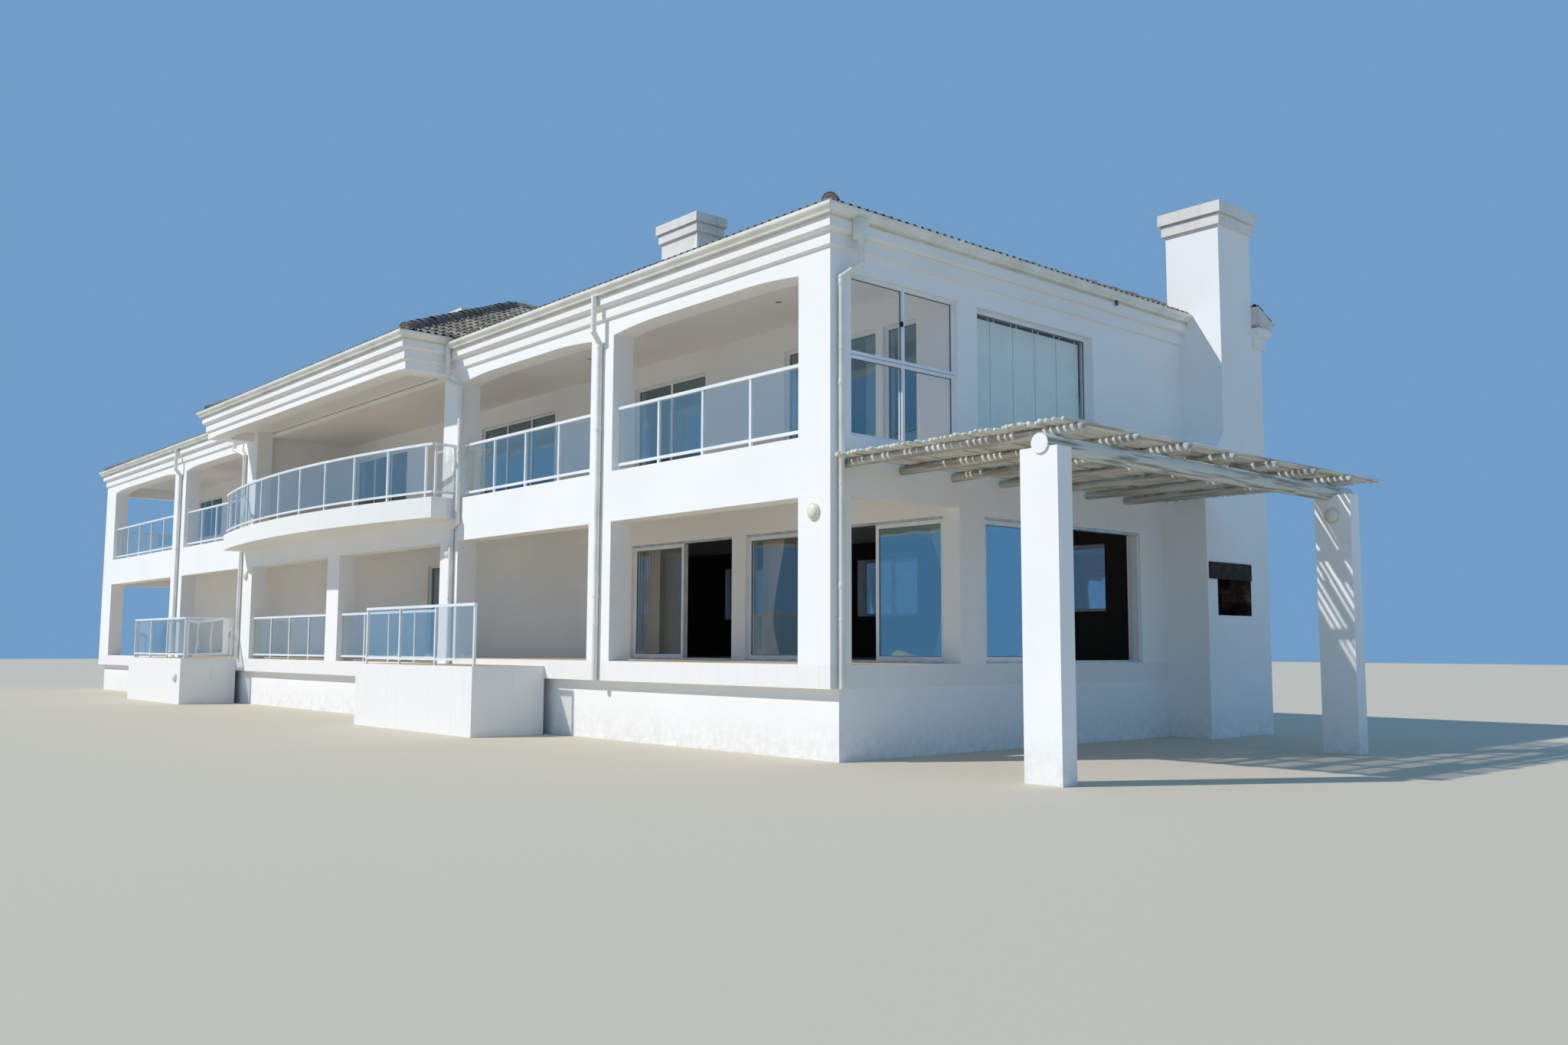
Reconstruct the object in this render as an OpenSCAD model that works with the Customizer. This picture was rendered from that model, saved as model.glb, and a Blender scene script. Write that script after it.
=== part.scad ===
/* [Levels] */
// Depth of the plinth below the floor of the rooms
plinth_h = 1200; // [800:50:1600]
// How far the left verandas lie below the floor of the rooms
step_h = 100; // [60:10:150]
// Thickness of the ground floor slabs
slab_t = 300; // [200:10:350]
// Head of the sliding doors on the ground floor
door_head = 2050; // [1950:10:2100]
// Underside of the beams over the ground floor verandas
beam_under = 2130; // [2120:10:2300]
// Underside of the upper floor
upper_under = 2530; // [2480:10:2560]
// Top of the upper floor
upper_floor = 2800; // [2700:10:2850]
// Top of the parapet kerb that carries the upper balustrades
kerb_top = 2910; // [2880:10:3000]
// Head of the doors and windows on the upper floor
upper_door_head = 4950; // [4800:10:5050]
// Underside of the beams over the upper verandas
upper_head = 5115; // [5080:5:5150]
// Drop of the rounded ends of the upper beams
arch_drop = 70; // [40:5:90]
// Underside of the beam over the centre balcony
centre_head = 5290; // [5270:5:5310]
// Underside of the upper ceiling
ceiling_under = 5350; // [5300:10:5400]
// Top of the upper beams and outer walls
wall_top = 5660; // [5640:10:5700]
// Height of the roof surface at its outer edge
eave_top = 5820; // [5800:5:5850]
// How much higher the centre of the front stands than the wings
centre_rise = 110; // [90:10:150]

/* [Plan] */
// Depth of the house without eaves and porches
house_d = 9500; // [9000:50:10500]
// Depth of the verandas behind the front face
veranda_d = 2450; // [2200:50:2600]
// Thickness of the outer walls
wall_t = 250; // [200:10:300]
// Thickness of the rear wall
rear_t = 300; // [250:10:350]
// Depth of the front piers and beams
pier_d = 370; // [300:10:450]
// Width of the corner pier at the right end
pier1_w = 600; // [500:10:700]
// Width of the first bay from the right
bay1_w = 4290; // [4000:10:4600]
// Width of the second pier
pier2_w = 620; // [500:10:700]
// Width of the second bay
bay2_w = 4340; // [4000:10:4600]
// Width of the pier right of the centre
pier3_w = 690; // [600:10:800]
// Width of the wide centre bay
centre_w = 9940; // [9500:10:10500]
// Width of the pier left of the centre
pier4_w = 770; // [650:10:900]
// Width of the fourth bay
bay4_w = 4750; // [4500:10:5000]
// Width of the fifth pier
pier5_w = 1000; // [800:10:1100]
// Width of the last bay at the left
bay5_w = 6150; // [5800:10:6400]
// Width of the pier at the left end
pier6_w = 1050; // [900:10:1200]
// How far the upper centre steps out in front of the piers
centre_out = 930; // [850:10:1050]
// Depth of the terraces in front of the verandas
terrace_d = 1290; // [1000:10:1380]

/* [Roof] */
// Pitch of the hipped roof in degrees
roof_pitch = 25; // [22:0.5:28]
// How far the roof edge stands out from the wall
eave_out = 130; // [130:5:220]
// Upright thickness of the roof with rafters and tiles
roof_t = 300; // [250:10:320]
// How far the lower moulding of the cornice stands out
cornice_low_out = 45; // [30:5:60]
// How far the upper moulding of the cornice stands out
cornice_high_out = 120; // [95:5:130]
// Width of the gutters
gutter_w = 105; // [95:5:150]
// Height of the gutters
gutter_h = 120; // [100:5:120]
// Diameter of the rain pipes
pipe_d = 90; // [75:5:110]

/* [Chimneys] */
// How far the side chimney stands out from the wall
stack_out = 750; // [600:10:900]
// Width of the fireplace breast at the foot of the side chimney
breast_w = 1650; // [1400:10:1800]
// Width of the side chimney above its shoulder
stack_w = 1020; // [900:10:1150]
// Top of the side chimney
stack_top = 7640; // [7300:10:8200]
// Top of the chimneys on the ridge
ridge_stack_top = 8950; // [8700:10:9300]
// Height of each band of the chimney caps
cap_h = 190; // [150:10:230]

/* [Pergola] */
// Reach of the pergola from the wall
pergola_out = 3620; // [3200:10:4000]
// Length of the pergola along the wall
pergola_l = 7500; // [7000:50:8000]
// Diameter of the log that carries the poles
log_d = 220; // [180:10:250]
// Height of the middle of the log
log_z = 2380; // [2300:10:2450]
// Diameter of the cross poles
pole_d = 120; // [100:5:140]
// Number of cross poles
pole_n = 7; // [6:1:8]
// Diameter of the split laths on top
lath_d = 56; // [40:2:70]
// Spacing of the laths
lath_pitch = 90; // [70:1:100]

/* [Balustrades and doors] */
// Height of the balustrades
rail_h = 1000; // [950:10:1100]
// Side of the square aluminium posts
post_w = 40; // [35:5:50]
// Height of the gap below the bottom rail
rail_gap = 80; // [60:5:110]
// Thickness of the glass in balustrades and windows
glass_t = 10; // [8:1:12]
// Face width of window and door frames
frame_w = 50; // [45:5:60]
// Thickness of a sliding leaf
leaf_t = 40; // [35:5:45]
// Outward bow of the centre balcony between its ends
bow = 550; // [400:10:650]

/* [Hidden] */

white = "whitesmoke";
house_l = pier1_w + bay1_w + pier2_w + bay2_w + pier3_w + centre_w + pier4_w + bay4_w
    + pier5_w + bay5_w + pier6_w;
// Right and left edges of each pier, counted from the right end
p1 = [-pier1_w, 0];
p2 = [p1[0] - bay1_w - pier2_w, p1[0] - bay1_w];
p3 = [p2[0] - bay2_w - pier3_w, p2[0] - bay2_w];
p4 = [p3[0] - centre_w - pier4_w, p3[0] - centre_w];
p5 = [p4[0] - bay4_w - pier5_w, p4[0] - bay4_w];
p6 = [-house_l, p5[0] - bay5_w];
centre_x = (p3[0] + p4[1]) / 2;
mid_pier_w = 630;
wall_y = veranda_d + wall_t;
back_y = house_d - rear_t;
left_in = -house_l + wall_t;
slope = tan(roof_pitch);
ridge_y = house_d / 2;
e = eave_out;
// The upper centre runs from the middle of pier 3 to the far side of pier 4
cr = p3[1] - 420;
cl = p4[0];
centre_side_w = 480;
centre_ceiling = ceiling_under + 110;
nib_x = stack_out;
stack_y = [back_y - stack_w, back_y];
breast_y = [back_y - breast_w, back_y];
stack_in = -230;
arc_half = centre_w / 2 + 550;
arc_r = (arc_half * arc_half + bow * bow) / (2 * bow);
arc_y = -460 - bow + arc_r;
kerb_edge = 60;
// The furthest that anything stands out in front
front_out = max(terrace_d, centre_out + e + gutter_w, 460 + bow + kerb_edge);

// Moves the house from its front right corner to the middle of its footprint
module place() {
    translate([(house_l + e + gutter_w - pergola_out) / 2,
        (front_out - house_d - e - gutter_w) / 2, plinth_h])
        children();
}

// A straight block between two limits on each axis
module block(x, y, z) {
    translate([x[0], y[0], z[0]]) cube([x[1] - x[0], y[1] - y[0], z[1] - z[0]]);
}

// A frame in a wall along X, with n lights side by side
module frame_x(x, y, z, n, w = frame_w) {
    pitch = (x[1] - x[0] - w) / n;
    difference() {
        block(x, y, z);
        for (i = [0:n - 1])
            block([x[0] + w + i * pitch, x[0] + (i + 1) * pitch], [y[0] - 1, y[1] + 1], [z[0] + w, z[1] - w]);
    }
}

// The panes of such a frame
module panes_x(x, y, z, n, w = frame_w) {
    pitch = (x[1] - x[0] - w) / n;
    for (i = [0:n - 1])
        block([x[0] + w + i * pitch, x[0] + (i + 1) * pitch], [y - glass_t / 2, y + glass_t / 2],
            [z[0] + w, z[1] - w]);
}

// Turns something made along X so that it runs along Y from the given corner
module along_y(x, y) {
    translate([x, y, 0]) rotate(90) children();
}

// A balustrade of n panels between two posts at the ends of a run along X
module balustrade(l, z0, n) {
    step = (l - post_w) / n;
    for (i = [0:n])
        block([i * step, i * step + post_w], [-post_w / 2, post_w / 2], [z0, z0 + rail_h - 30]);
    block([0, l], [-30, 30], [z0 + rail_h - 45, z0 + rail_h]);
    block([0, l], [-post_w / 2, post_w / 2], [z0 + rail_gap, z0 + rail_gap + 40]);
}

// The panes of that balustrade
module balustrade_panes(l, z0, n) {
    step = (l - post_w) / n;
    for (i = [0:n - 1])
        block([i * step + post_w, (i + 1) * step], [-glass_t / 2, glass_t / 2],
            [z0 + rail_gap + 40, z0 + rail_h - 45]);
}

module plinth_long() {
    color(white) place() {
        block([-house_l + 150, p3[1]], [150, 400], [-plinth_h, -slab_t - step_h]);
        block([p3[1], 0], [150, 400], [-plinth_h, -slab_t]);
        block([-house_l + 150, 0], [veranda_d, wall_y], [-plinth_h, -slab_t]);
        block([-house_l, nib_x], [back_y, house_d], [-plinth_h, -slab_t]);
    }
}

module plinth_ends() {
    color(white) place() {
        for (x = [-house_l + 150, -wall_t])
            block([x, x + wall_t], [wall_y, back_y], [-plinth_h, -slab_t]);
        block([-house_l + 150, -house_l + 150 + wall_t], [400, veranda_d], [-plinth_h, -slab_t - step_h]);
        block([-wall_t, 0], [400, veranda_d], [-plinth_h, -slab_t]);
    }
}

module floor_rooms() {
    color("gainsboro") place() block([-house_l, 0], [veranda_d, back_y], [-slab_t, 0]);
}

module veranda_floors() {
    color("gainsboro") place() {
        block([p3[1], 0], [0, veranda_d], [-slab_t, 0]);
        block([-house_l, p3[1]], [0, veranda_d], [-slab_t - step_h, -step_h]);
    }
}

module terraces() {
    color(white) place() {
        block([p4[0] - 4500, p4[0] - 100], [-terrace_d, 0], [-plinth_h, -step_h]);
        block([p3[0] - 600, p3[1] + 3100], [-terrace_d, 0], [-plinth_h, -step_h]);
    }
}

module ground_piers() {
    color(white) place() {
        for (p = [p1, p2])
            block(p, [0, pier_d], [0, beam_under]);
        for (p = [p3, p4, p5, p6])
            block(p, [0, pier_d], [-step_h, beam_under]);
        block([centre_x - mid_pier_w / 2, centre_x + mid_pier_w / 2], [0, pier_d], [-step_h, beam_under]);
    }
}

module upper_piers() {
    color(white) place()
        for (p = [p1, p2, p3, p4, p5, p6])
            block(p, [0, pier_d], [kerb_top, upper_head]);
}

module floor_beams() {
    color(white) place() {
        block([p3[1], 0], [0, pier_d], [beam_under, kerb_top]);
        block([-house_l, p4[0]], [0, pier_d], [beam_under, kerb_top]);
    }
}

module centre_floor_beam() {
    color(white) place() block([p4[0], p3[1]], [0, pier_d], [beam_under, upper_under]);
}

// The beams that tie the front to the end walls, at floor height and under the roof
module end_beams() {
    color(white) place()
        for (x = [-wall_t, -house_l])
            for (z = [[beam_under, kerb_top], [upper_head - arch_drop, wall_top]])
                block([x, x + wall_t], [pier_d, veranda_d], z);
}

module upper_slab() {
    color(white) place() block([left_in, -wall_t], [pier_d, back_y], [upper_under, upper_floor]);
}

// Everything in front of an arc that is struck about the middle of the centre bay
module arc_plate(r, x, z) {
    intersection() {
        translate([centre_x, arc_y, z[0]]) cylinder(r = r, h = z[1] - z[0], $fn = 720);
        block(x, [-2000, 0], [z[0] - 1, z[1] + 1]);
    }
}

module balcony_slab() {
    edge = arc_half + kerb_edge;
    color(white) place() difference() {
        union() {
            arc_plate(arc_r + kerb_edge, [centre_x - edge, centre_x + edge], [upper_under, kerb_top]);
            block([p4[0], p3[1]], [0, pier_d], [upper_under, kerb_top]);
        }
        arc_plate(arc_r - 90, [centre_x - edge + 150, centre_x + edge - 150], [upper_floor, kerb_top + 1]);
        block([p4[1], p3[0]], [-1, pier_d + 1], [upper_floor, kerb_top + 1]);
    }
}

// Openings in the front wall of the upper rooms: left edge, right edge, sill and number of lights
upper_front = [[-1450, -780, upper_floor, 1], [-3650, -1600, upper_floor, 2],
    [-7820, -5710, upper_floor, 2], [-13660, -10620, upper_floor, 3],
    [-20300, -17340, upper_floor, 3], [-32970, -30600, 3700, 2]];
// Openings of the ground floor front wall
lounge_door = [-7850, -4950];
terrace_door = [-4600, -300];
side_door = [2980, 6830];
centre_door = [-16050, -15150];
// Rear windows, given by their left edges
rear_windows = [for (i = [0:6]) -house_l + 1900 + i * 4700];
rear_win_w = 1800;
rear_win_h = 1250;
rear_sills = [900, 3700];
left_window_y = 5200;

module ground_front_wall() {
    color(white) place() difference() {
        block([-house_l, lounge_door[0]], [veranda_d, wall_y], [0, upper_under]);
        block(centre_door, [veranda_d - 1, wall_y + 1], [-1, door_head]);
    }
}

module door_piers() {
    color(white) place() {
        block([lounge_door[1], terrace_door[0]], [veranda_d, wall_y], [0, door_head]);
        block([terrace_door[1], 0], [veranda_d, side_door[0]], [0, door_head]);
        block([-wall_t, 0], [side_door[1], back_y], [0, door_head]);
    }
}

module door_lintels() {
    color(white) place() {
        block([lounge_door[0], 0], [veranda_d, wall_y], [door_head, upper_under]);
        block([-wall_t, 0], [wall_y, back_y], [door_head, upper_under]);
    }
}

module upper_front_wall() {
    color(white) place() difference() {
        block([left_in, -wall_t], [veranda_d, wall_y], [upper_floor, ceiling_under]);
        for (w = upper_front)
            block([w[0], w[1]], [veranda_d - 1, wall_y + 1],
                [w[2] == upper_floor ? w[2] - 1 : w[2], upper_door_head]);
    }
}

// The big side window and the glazed end of the upper veranda: near edge, far edge, sill and head
side_window = [2870, 5640, 3000, 5040];
side_screen = [pier_d, veranda_d, kerb_top, upper_head - arch_drop];
screen_l = side_screen[1] - side_screen[0];

module side_wall_right() {
    color(white) place() difference() {
        block([-wall_t, 0], [veranda_d, back_y], [upper_under, wall_top]);
        block([-wall_t - 1, 1], [side_window[0], side_window[1]], [side_window[2], side_window[3]]);
    }
}

module side_wall_left() {
    color(white) place() difference() {
        block([-house_l, left_in], [wall_y, back_y], [0, wall_top]);
        for (z = rear_sills)
            block([-house_l - 1, left_in + 1], [left_window_y, left_window_y + rear_win_w],
                [z, z + rear_win_h]);
    }
}

module rear_wall() {
    color(white) place() difference() {
        union() {
            block([-house_l, 0], [back_y, house_d], [-slab_t, wall_top]);
            block([0, nib_x], [back_y, house_d], [-slab_t, wall_top]);
        }
        for (x = rear_windows)
            for (z = rear_sills)
                block([x, x + rear_win_w], [back_y - 1, house_d + 1], [z, z + rear_win_h]);
    }
}

// The wall across the upper veranda beside pier 4, with a recess for its pale panel
module veranda_divider() {
    x = p4[1] - 170;
    color(white) place() difference() {
        block([x - wall_t, x], [pier_d, veranda_d], [upper_floor, ceiling_under]);
        block([x - 40, x + 1], [pier_d + 50, pier_d + 1350], [upper_floor + 60, ceiling_under - 60]);
    }
}

// The rounded end of a beam under the level z, over the depth y. It starts at x and runs towards dir
arch_l = 1200;

module beam_end(x, dir, y, z, drop) {
    r = (arch_l * arch_l + drop * drop) / (2 * drop);
    difference() {
        block([min(x, x + dir * arch_l), max(x, x + dir * arch_l)], y, [z - drop, z + 20]);
        translate([x + dir * arch_l, y[0] - 1, z - r + 1]) rotate([-90, 0, 0])
            cylinder(r = r, h = y[1] - y[0] + 2, $fn = 720);
    }
}

module upper_beams() {
    color(white) place() {
        block([cr, 0], [0, pier_d], [upper_head, wall_top]);
        block([-house_l, cl], [0, pier_d], [upper_head, wall_top]);
        for (bay = [[p2[1], p1[0]], [p3[1], p2[0]], [p5[1], p4[0]], [p6[1], p5[0]]]) {
            beam_end(bay[0], 1, [0, pier_d], upper_head, arch_drop);
            beam_end(bay[1], -1, [0, pier_d], upper_head, arch_drop);
        }
    }
}

module centre_beam() {
    top = wall_top + centre_rise;
    side_head = centre_head - arch_drop / 2;
    color(white) place() {
        block([cl, cr], [-centre_out, pier_d - centre_out], [centre_head, top]);
        beam_end(cl, 1, [-centre_out, pier_d - centre_out], centre_head, arch_drop / 2);
        beam_end(cr, -1, [-centre_out, pier_d - centre_out], centre_head, arch_drop / 2);
        for (x = [[cl, cl + centre_side_w], [cr - centre_side_w, cr]]) {
            block(x, [pier_d - centre_out, 0], [side_head, top]);
            block(x, [-1, pier_d], [side_head, wall_top]);
        }
        block([cl, p4[1]], [0, pier_d], [upper_head, side_head + 1]);
        block([cl + centre_side_w, p4[1]], [0, pier_d], [side_head, centre_ceiling]);
        block([p3[0], cr], [0, pier_d], [upper_head, side_head + 1]);
    }
}

module ceiling() {
    color(white) place() {
        block([left_in, -wall_t], [pier_d, back_y], [ceiling_under, ceiling_under + 100]);
        block([cl + centre_side_w, cr - centre_side_w], [pier_d - centre_out, pier_d - 2],
            [centre_ceiling, centre_ceiling + 100]);
    }
}

// Profile of the cornice, as reach from the wall and height: a low band, a high band with a
// chamfered drip, and a flat top that the roof rests on
low_z = upper_head + 203;
high_z = upper_head + 393;
cornice = [[0, low_z], [cornice_low_out - 15, low_z], [cornice_low_out, low_z + 15],
    [cornice_low_out, high_z], [cornice_high_out - 30, high_z], [cornice_high_out, high_z + 30],
    [cornice_high_out, wall_top], [0, wall_top]];

// A moulding with the given profile along a wall face that runs along X at y = 0. Each end is
// square (0) or mitred round an outer corner (1)
module moulding(profile, x, left = 0, right = 0, lift = 0) {
    reach = max([for (p = profile) p[0]]);
    translate([0, 0, lift]) intersection() {
        translate([x[0] - reach, 0, 0]) rotate([90, 0, 90])
            linear_extrude(x[1] - x[0] + 2 * reach) polygon([for (p = profile) [-p[0], p[1]]]);
        linear_extrude(wall_top + 1000)
            polygon([[x[0], 0], [x[0] - left * reach, -reach], [x[1] + right * reach, -reach], [x[1], 0]]);
    }
}

// Places for mouldings on the other faces: children are drawn along X, facing -Y
module on_right(x, y) {
    translate([x, y, 0]) rotate(90) children();
}

module on_left(x, y) {
    translate([x, y, 0]) rotate(-90) children();
}

module on_rear(x, y) {
    translate([x, y, 0]) rotate(180) children();
}

module cornice_wings() {
    color(white) place() {
        moulding(cornice, [cr, 0], 0, 1);
        moulding(cornice, [-house_l, cl], 1, 0);
    }
}

module cornice_sides() {
    color(white) place() {
        on_right(0, 0) moulding(cornice, [0, stack_y[0]], 1, 0);
        on_left(-house_l, house_d) moulding(cornice, [0, house_d], 1, 1);
    }
}

module cornice_centre() {
    side = centre_out - cornice_high_out;
    color(white) place() {
        translate([0, -centre_out, 0]) moulding(cornice, [cl, cr], 1, 1, centre_rise);
        on_right(cr, -centre_out) moulding(cornice, [0, side], 1, 0, centre_rise);
        on_left(cl, -cornice_high_out) moulding(cornice, [0, side], 0, 1, centre_rise);
        for (x = [[cr, cr + cornice_high_out], [cl - cornice_high_out, cl]])
            block(x, [-cornice_high_out, 0], [wall_top, wall_top + centre_rise]);
    }
}

module cornice_rear() {
    color(white) place() {
        on_rear(nib_x, house_d) moulding(cornice, [0, house_l + nib_x], 1, 1);
        on_right(nib_x, back_y) moulding(cornice, [0, rear_t], 0, 1);
    }
}

// A roof slope over a plan outline. It rises from the point at, towards the compass angle turn
module slope_over(outline, at, turn, lift = 0) {
    far = 14000;
    intersection() {
        translate([0, 0, wall_top + lift]) linear_extrude(6000) polygon(outline);
        translate([at[0], at[1], eave_top + lift]) rotate(turn) rotate([90, 0, -90])
            translate([0, 0, -40000]) linear_extrude(80000)
                polygon([[0, 0], [-far, far * slope], [-far, far * slope - roof_t], [0, -roof_t]]);
    }
}

// Where the chimneys pass the roof
module stacks_cut() {
    block([stack_in, stack_out + 1000], stack_y, [0, 9000]);
    for (c = ridge_stacks)
        block(c[0], c[1], [0, 9000]);
}

// Ridge chimneys: shaft limits on X and Y
ridge_stacks = [[[-9700, -8500], [4370, 4980]], [[-19150, -18450], [4370, 4980]]];

half = ridge_y + e;
// Corners of the ridges and valleys
ridge_r = [e - half, ridge_y];
ridge_l = [-house_l - e + half, ridge_y];
cre = cr + e;
cle = cl - e;
cfe = -centre_out - e;
top_y = (cfe + house_d + e) / 2 - centre_rise / slope / 2;
centre_half = top_y - cfe;
val_r = [cre, -e + centre_rise / slope];
val_l = [cle, -e + centre_rise / slope];
join_r = [cre - (ridge_y - val_r[1]), ridge_y];
join_l = [cle + (ridge_y - val_l[1]), ridge_y];
apex_r = [cre - centre_half, top_y];
apex_l = [cle + centre_half, top_y];

module roof_front() {
    color("dimgray") place() difference() {
        union() {
            slope_over([[e, -e], ridge_r, join_r, val_r, [cre, -e]], [0, -e], 0);
            slope_over([[-house_l - e, -e], [cle, -e], val_l, join_l, ridge_l], [0, -e], 0);
        }
        stacks_cut();
    }
}

module roof_ends() {
    color("dimgray") place() difference() {
        union() {
            slope_over([[e, -e], [e, back_y], [-rear_t, back_y], ridge_r], [e, 0], 90);
            slope_over([[-house_l - e, -e], ridge_l, [-house_l - e, house_d + e]], [-house_l - e, 0], -90);
        }
        stacks_cut();
    }
}

module roof_rear() {
    nib = nib_x + e;
    color("dimgray") place() difference() {
        slope_over([[nib, house_d + e], [-house_l - e, house_d + e], ridge_l, join_l, apex_l, apex_r,
            join_r, ridge_r, [-rear_t, back_y], [nib, back_y]], [0, house_d + e], 180);
        stacks_cut();
    }
}

module roof_centre_front() {
    color("dimgray") place()
        slope_over([[cre, cfe], apex_r, apex_l, [cle, cfe]], [0, cfe], 0, centre_rise);
}

module roof_centre_sides() {
    color("dimgray") place() difference() {
        union() {
            slope_over([[cre, cfe], val_r, join_r, apex_r], [cre, 0], 90, centre_rise);
            slope_over([[cle, cfe], apex_l, join_l, val_l], [cle, 0], -90, centre_rise);
        }
        stacks_cut();
    }
}

// Profile of the gutters: flat bottom, S-curved front and upright lip, hollow and open above
gutter_wall = 6;
gutter_base = 50;
gutter_z = eave_top - 130;

// The S curve of the front at a share t of its height, set in by the thickness of the wall
function gutter_front(t, inset) = [gutter_base + (gutter_w - gutter_base) * (1 - cos(180 * t)) / 2 - inset,
    gutter_z + inset + (gutter_h - 30 - inset) * t];
gutter = concat([[0, gutter_z + gutter_h], [0, gutter_z]], [for (t = [0:0.125:1]) gutter_front(t, 0)],
    [[gutter_w, gutter_z + gutter_h], [gutter_w - gutter_wall, gutter_z + gutter_h]],
    [for (t = [1:-0.125:0]) gutter_front(t, gutter_wall)],
    [[gutter_wall, gutter_z + gutter_wall], [gutter_wall, gutter_z + gutter_h]]);
gutter_gap = gutter_w + 10;

// A plate that closes the square end of a gutter at x
module gutter_end(x, lift = 0) {
    translate([0, 0, lift]) block([x, x + gutter_wall], [-gutter_base, 0], [gutter_z, gutter_z + gutter_h]);
}

module gutters() {
    right_l = stack_y[0] + e;
    color("white") place() {
        translate([0, -e, 0]) {
            moulding(gutter, [cre + gutter_gap, e], 0, 1);
            gutter_end(cre + gutter_gap);
            moulding(gutter, [-house_l - e, cle - gutter_gap], 1, 0);
            gutter_end(cle - gutter_gap - gutter_wall);
        }
        on_right(e, -e) {
            moulding(gutter, [0, right_l], 1, 0);
            gutter_end(right_l - gutter_wall);
        }
        on_left(-house_l - e, house_d + e) moulding(gutter, [0, house_d + 2 * e], 1, 1);
        on_rear(nib_x + e, house_d + e) {
            moulding(gutter, [0, house_l + nib_x + 2 * e], 0, 1);
            gutter_end(0);
        }
        translate([0, cfe, 0]) moulding(gutter, [cle, cre], 1, 1, centre_rise);
        on_right(cre, cfe) {
            moulding(gutter, [0, -e - cfe], 1, 0, centre_rise);
            gutter_end(-e - cfe - gutter_wall, centre_rise);
        }
        on_left(cle, -e) {
            moulding(gutter, [0, -e - cfe], 0, 1, centre_rise);
            gutter_end(0, centre_rise);
        }
    }
}

// A round rain pipe through a list of points, with a socket at each bend
module pipe(path) {
    for (i = [0:len(path) - 2]) {
        v = path[i + 1] - path[i];
        translate(path[i]) rotate([0, acos(v[2] / norm(v)), atan2(v[1], v[0])])
            cylinder(d = pipe_d, h = norm(v), $fn = 32);
    }
    for (i = [1:len(path) - 2])
        translate(path[i]) sphere(d = pipe_d + 10, $fn = 32);
}

pipe_in = pipe_d / 2 + 6;
pipe_out = e + gutter_base;
bend_z = 5120;

// A pipe from the front gutter at x_top, back to the front face at x and down to a floor
module front_pipe(x_top, x, floor_z) {
    pipe([[x_top, -pipe_out, gutter_z], [x_top, -pipe_out, bend_z], [x, -pipe_in, bend_z - 170],
        [x, -pipe_in, floor_z]]);
}

module rain_pipes() {
    side_x = cre + gutter_w / 2;
    pier3_x = p3[1] + 50;
    hopper_y = [280, 460];
    hopper_x = e + 2;
    color("white") place() {
        front_pipe(p2[1] - 300, p2[1] - 310, -slab_t);
        front_pipe(cle - gutter_gap - 90, p4[0] + 60, -step_h);
        front_pipe(p5[1] - 380, p5[1] - 360, -slab_t - step_h);
        pipe([[side_x, -pipe_out, gutter_z + centre_rise], [side_x, -pipe_out, bend_z],
            [pier3_x, -pipe_in, bend_z - 170], [pier3_x, -pipe_in, upper_under - 70],
            [pier3_x - 220, -pipe_in, upper_under - 170], [pier3_x - 220, -pipe_in, -step_h]]);
        block([hopper_x, hopper_x + gutter_w], hopper_y, [gutter_z - 260, gutter_z]);
        pipe([[hopper_x + 55, 370, gutter_z - 260], [hopper_x + 55, 370, bend_z],
            [pipe_in, 145, bend_z - 200], [pipe_in, 145, -slab_t]]);
        for (x = [-8000, -26300])
            pipe([[x, house_d + pipe_out, gutter_z], [x, house_d + pipe_out, bend_z],
                [x, house_d + pipe_in, bend_z - 170], [x, house_d + pipe_in, -slab_t]]);
    }
}

// The cap of a chimney on a shaft: two bands with a narrow joint between them
cap_joint = 15;

module cap(x, y, top) {
    for (b = [[50, 2 * cap_h, cap_h + cap_joint], [35, cap_h + cap_joint, cap_h], [95, cap_h, 0]])
        block([x[0] - b[0], x[1] + b[0]], [y[0] - b[0], y[1] + b[0]], [top - b[1], top - b[2]]);
}

hearth_z = [750, 1330];
hood_top = 1600;
shoulder_z = [3000, 3750];
flue = [[180, 580], [stack_y[0] + 250, stack_y[1] - 250]];

module side_chimney() {
    color(white) place() difference() {
        union() {
            rotate([90, 0, 90]) linear_extrude(stack_out)
                polygon([[breast_y[0], hood_top], [breast_y[1], hood_top], [breast_y[1], wall_top + 1],
                    [stack_y[0], wall_top + 1], [stack_y[0], shoulder_z[1]], [breast_y[0], shoulder_z[0]]]);
            block([stack_in, stack_out], stack_y, [wall_top, stack_top]);
            cap([stack_in, stack_out], stack_y, stack_top);
        }
        block(flue[0], flue[1], [hood_top - 1, stack_top + 1]);
    }
}

// The breast with its fire recess, open to the flue above and to the front
module fireplace() {
    recess_y = [breast_y[0] + 300, breast_y[1] - 300];
    color(white) place() difference() {
        block([0, stack_out], breast_y, [-plinth_h, hood_top]);
        block([180, stack_out + 1], recess_y, hearth_z);
        block([180, stack_out - 60], recess_y, [hearth_z[0], hood_top + 1]);
        block([stack_out - 60, stack_out + 1], [breast_y[0] + 50, recess_y[1]], [hearth_z[1], hood_top + 1]);
    }
}

module fireplace_hood() {
    color("dimgray") place()
        block([stack_out - 60, stack_out + 20], [breast_y[0] + 50, breast_y[1] - 300],
            [hearth_z[1], hood_top]);
}

module ridge_chimneys() {
    color(white) place()
        for (c = ridge_stacks) {
            block(c[0], c[1], [ceiling_under + 100, ridge_stack_top - 10]);
            cap(c[0], c[1], ridge_stack_top);
        }
}

// A row of n panels on a front slope whose lower edge is at y and z, from the right edge x
panel_w = 1180;
panel_l = 1650;

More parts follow.
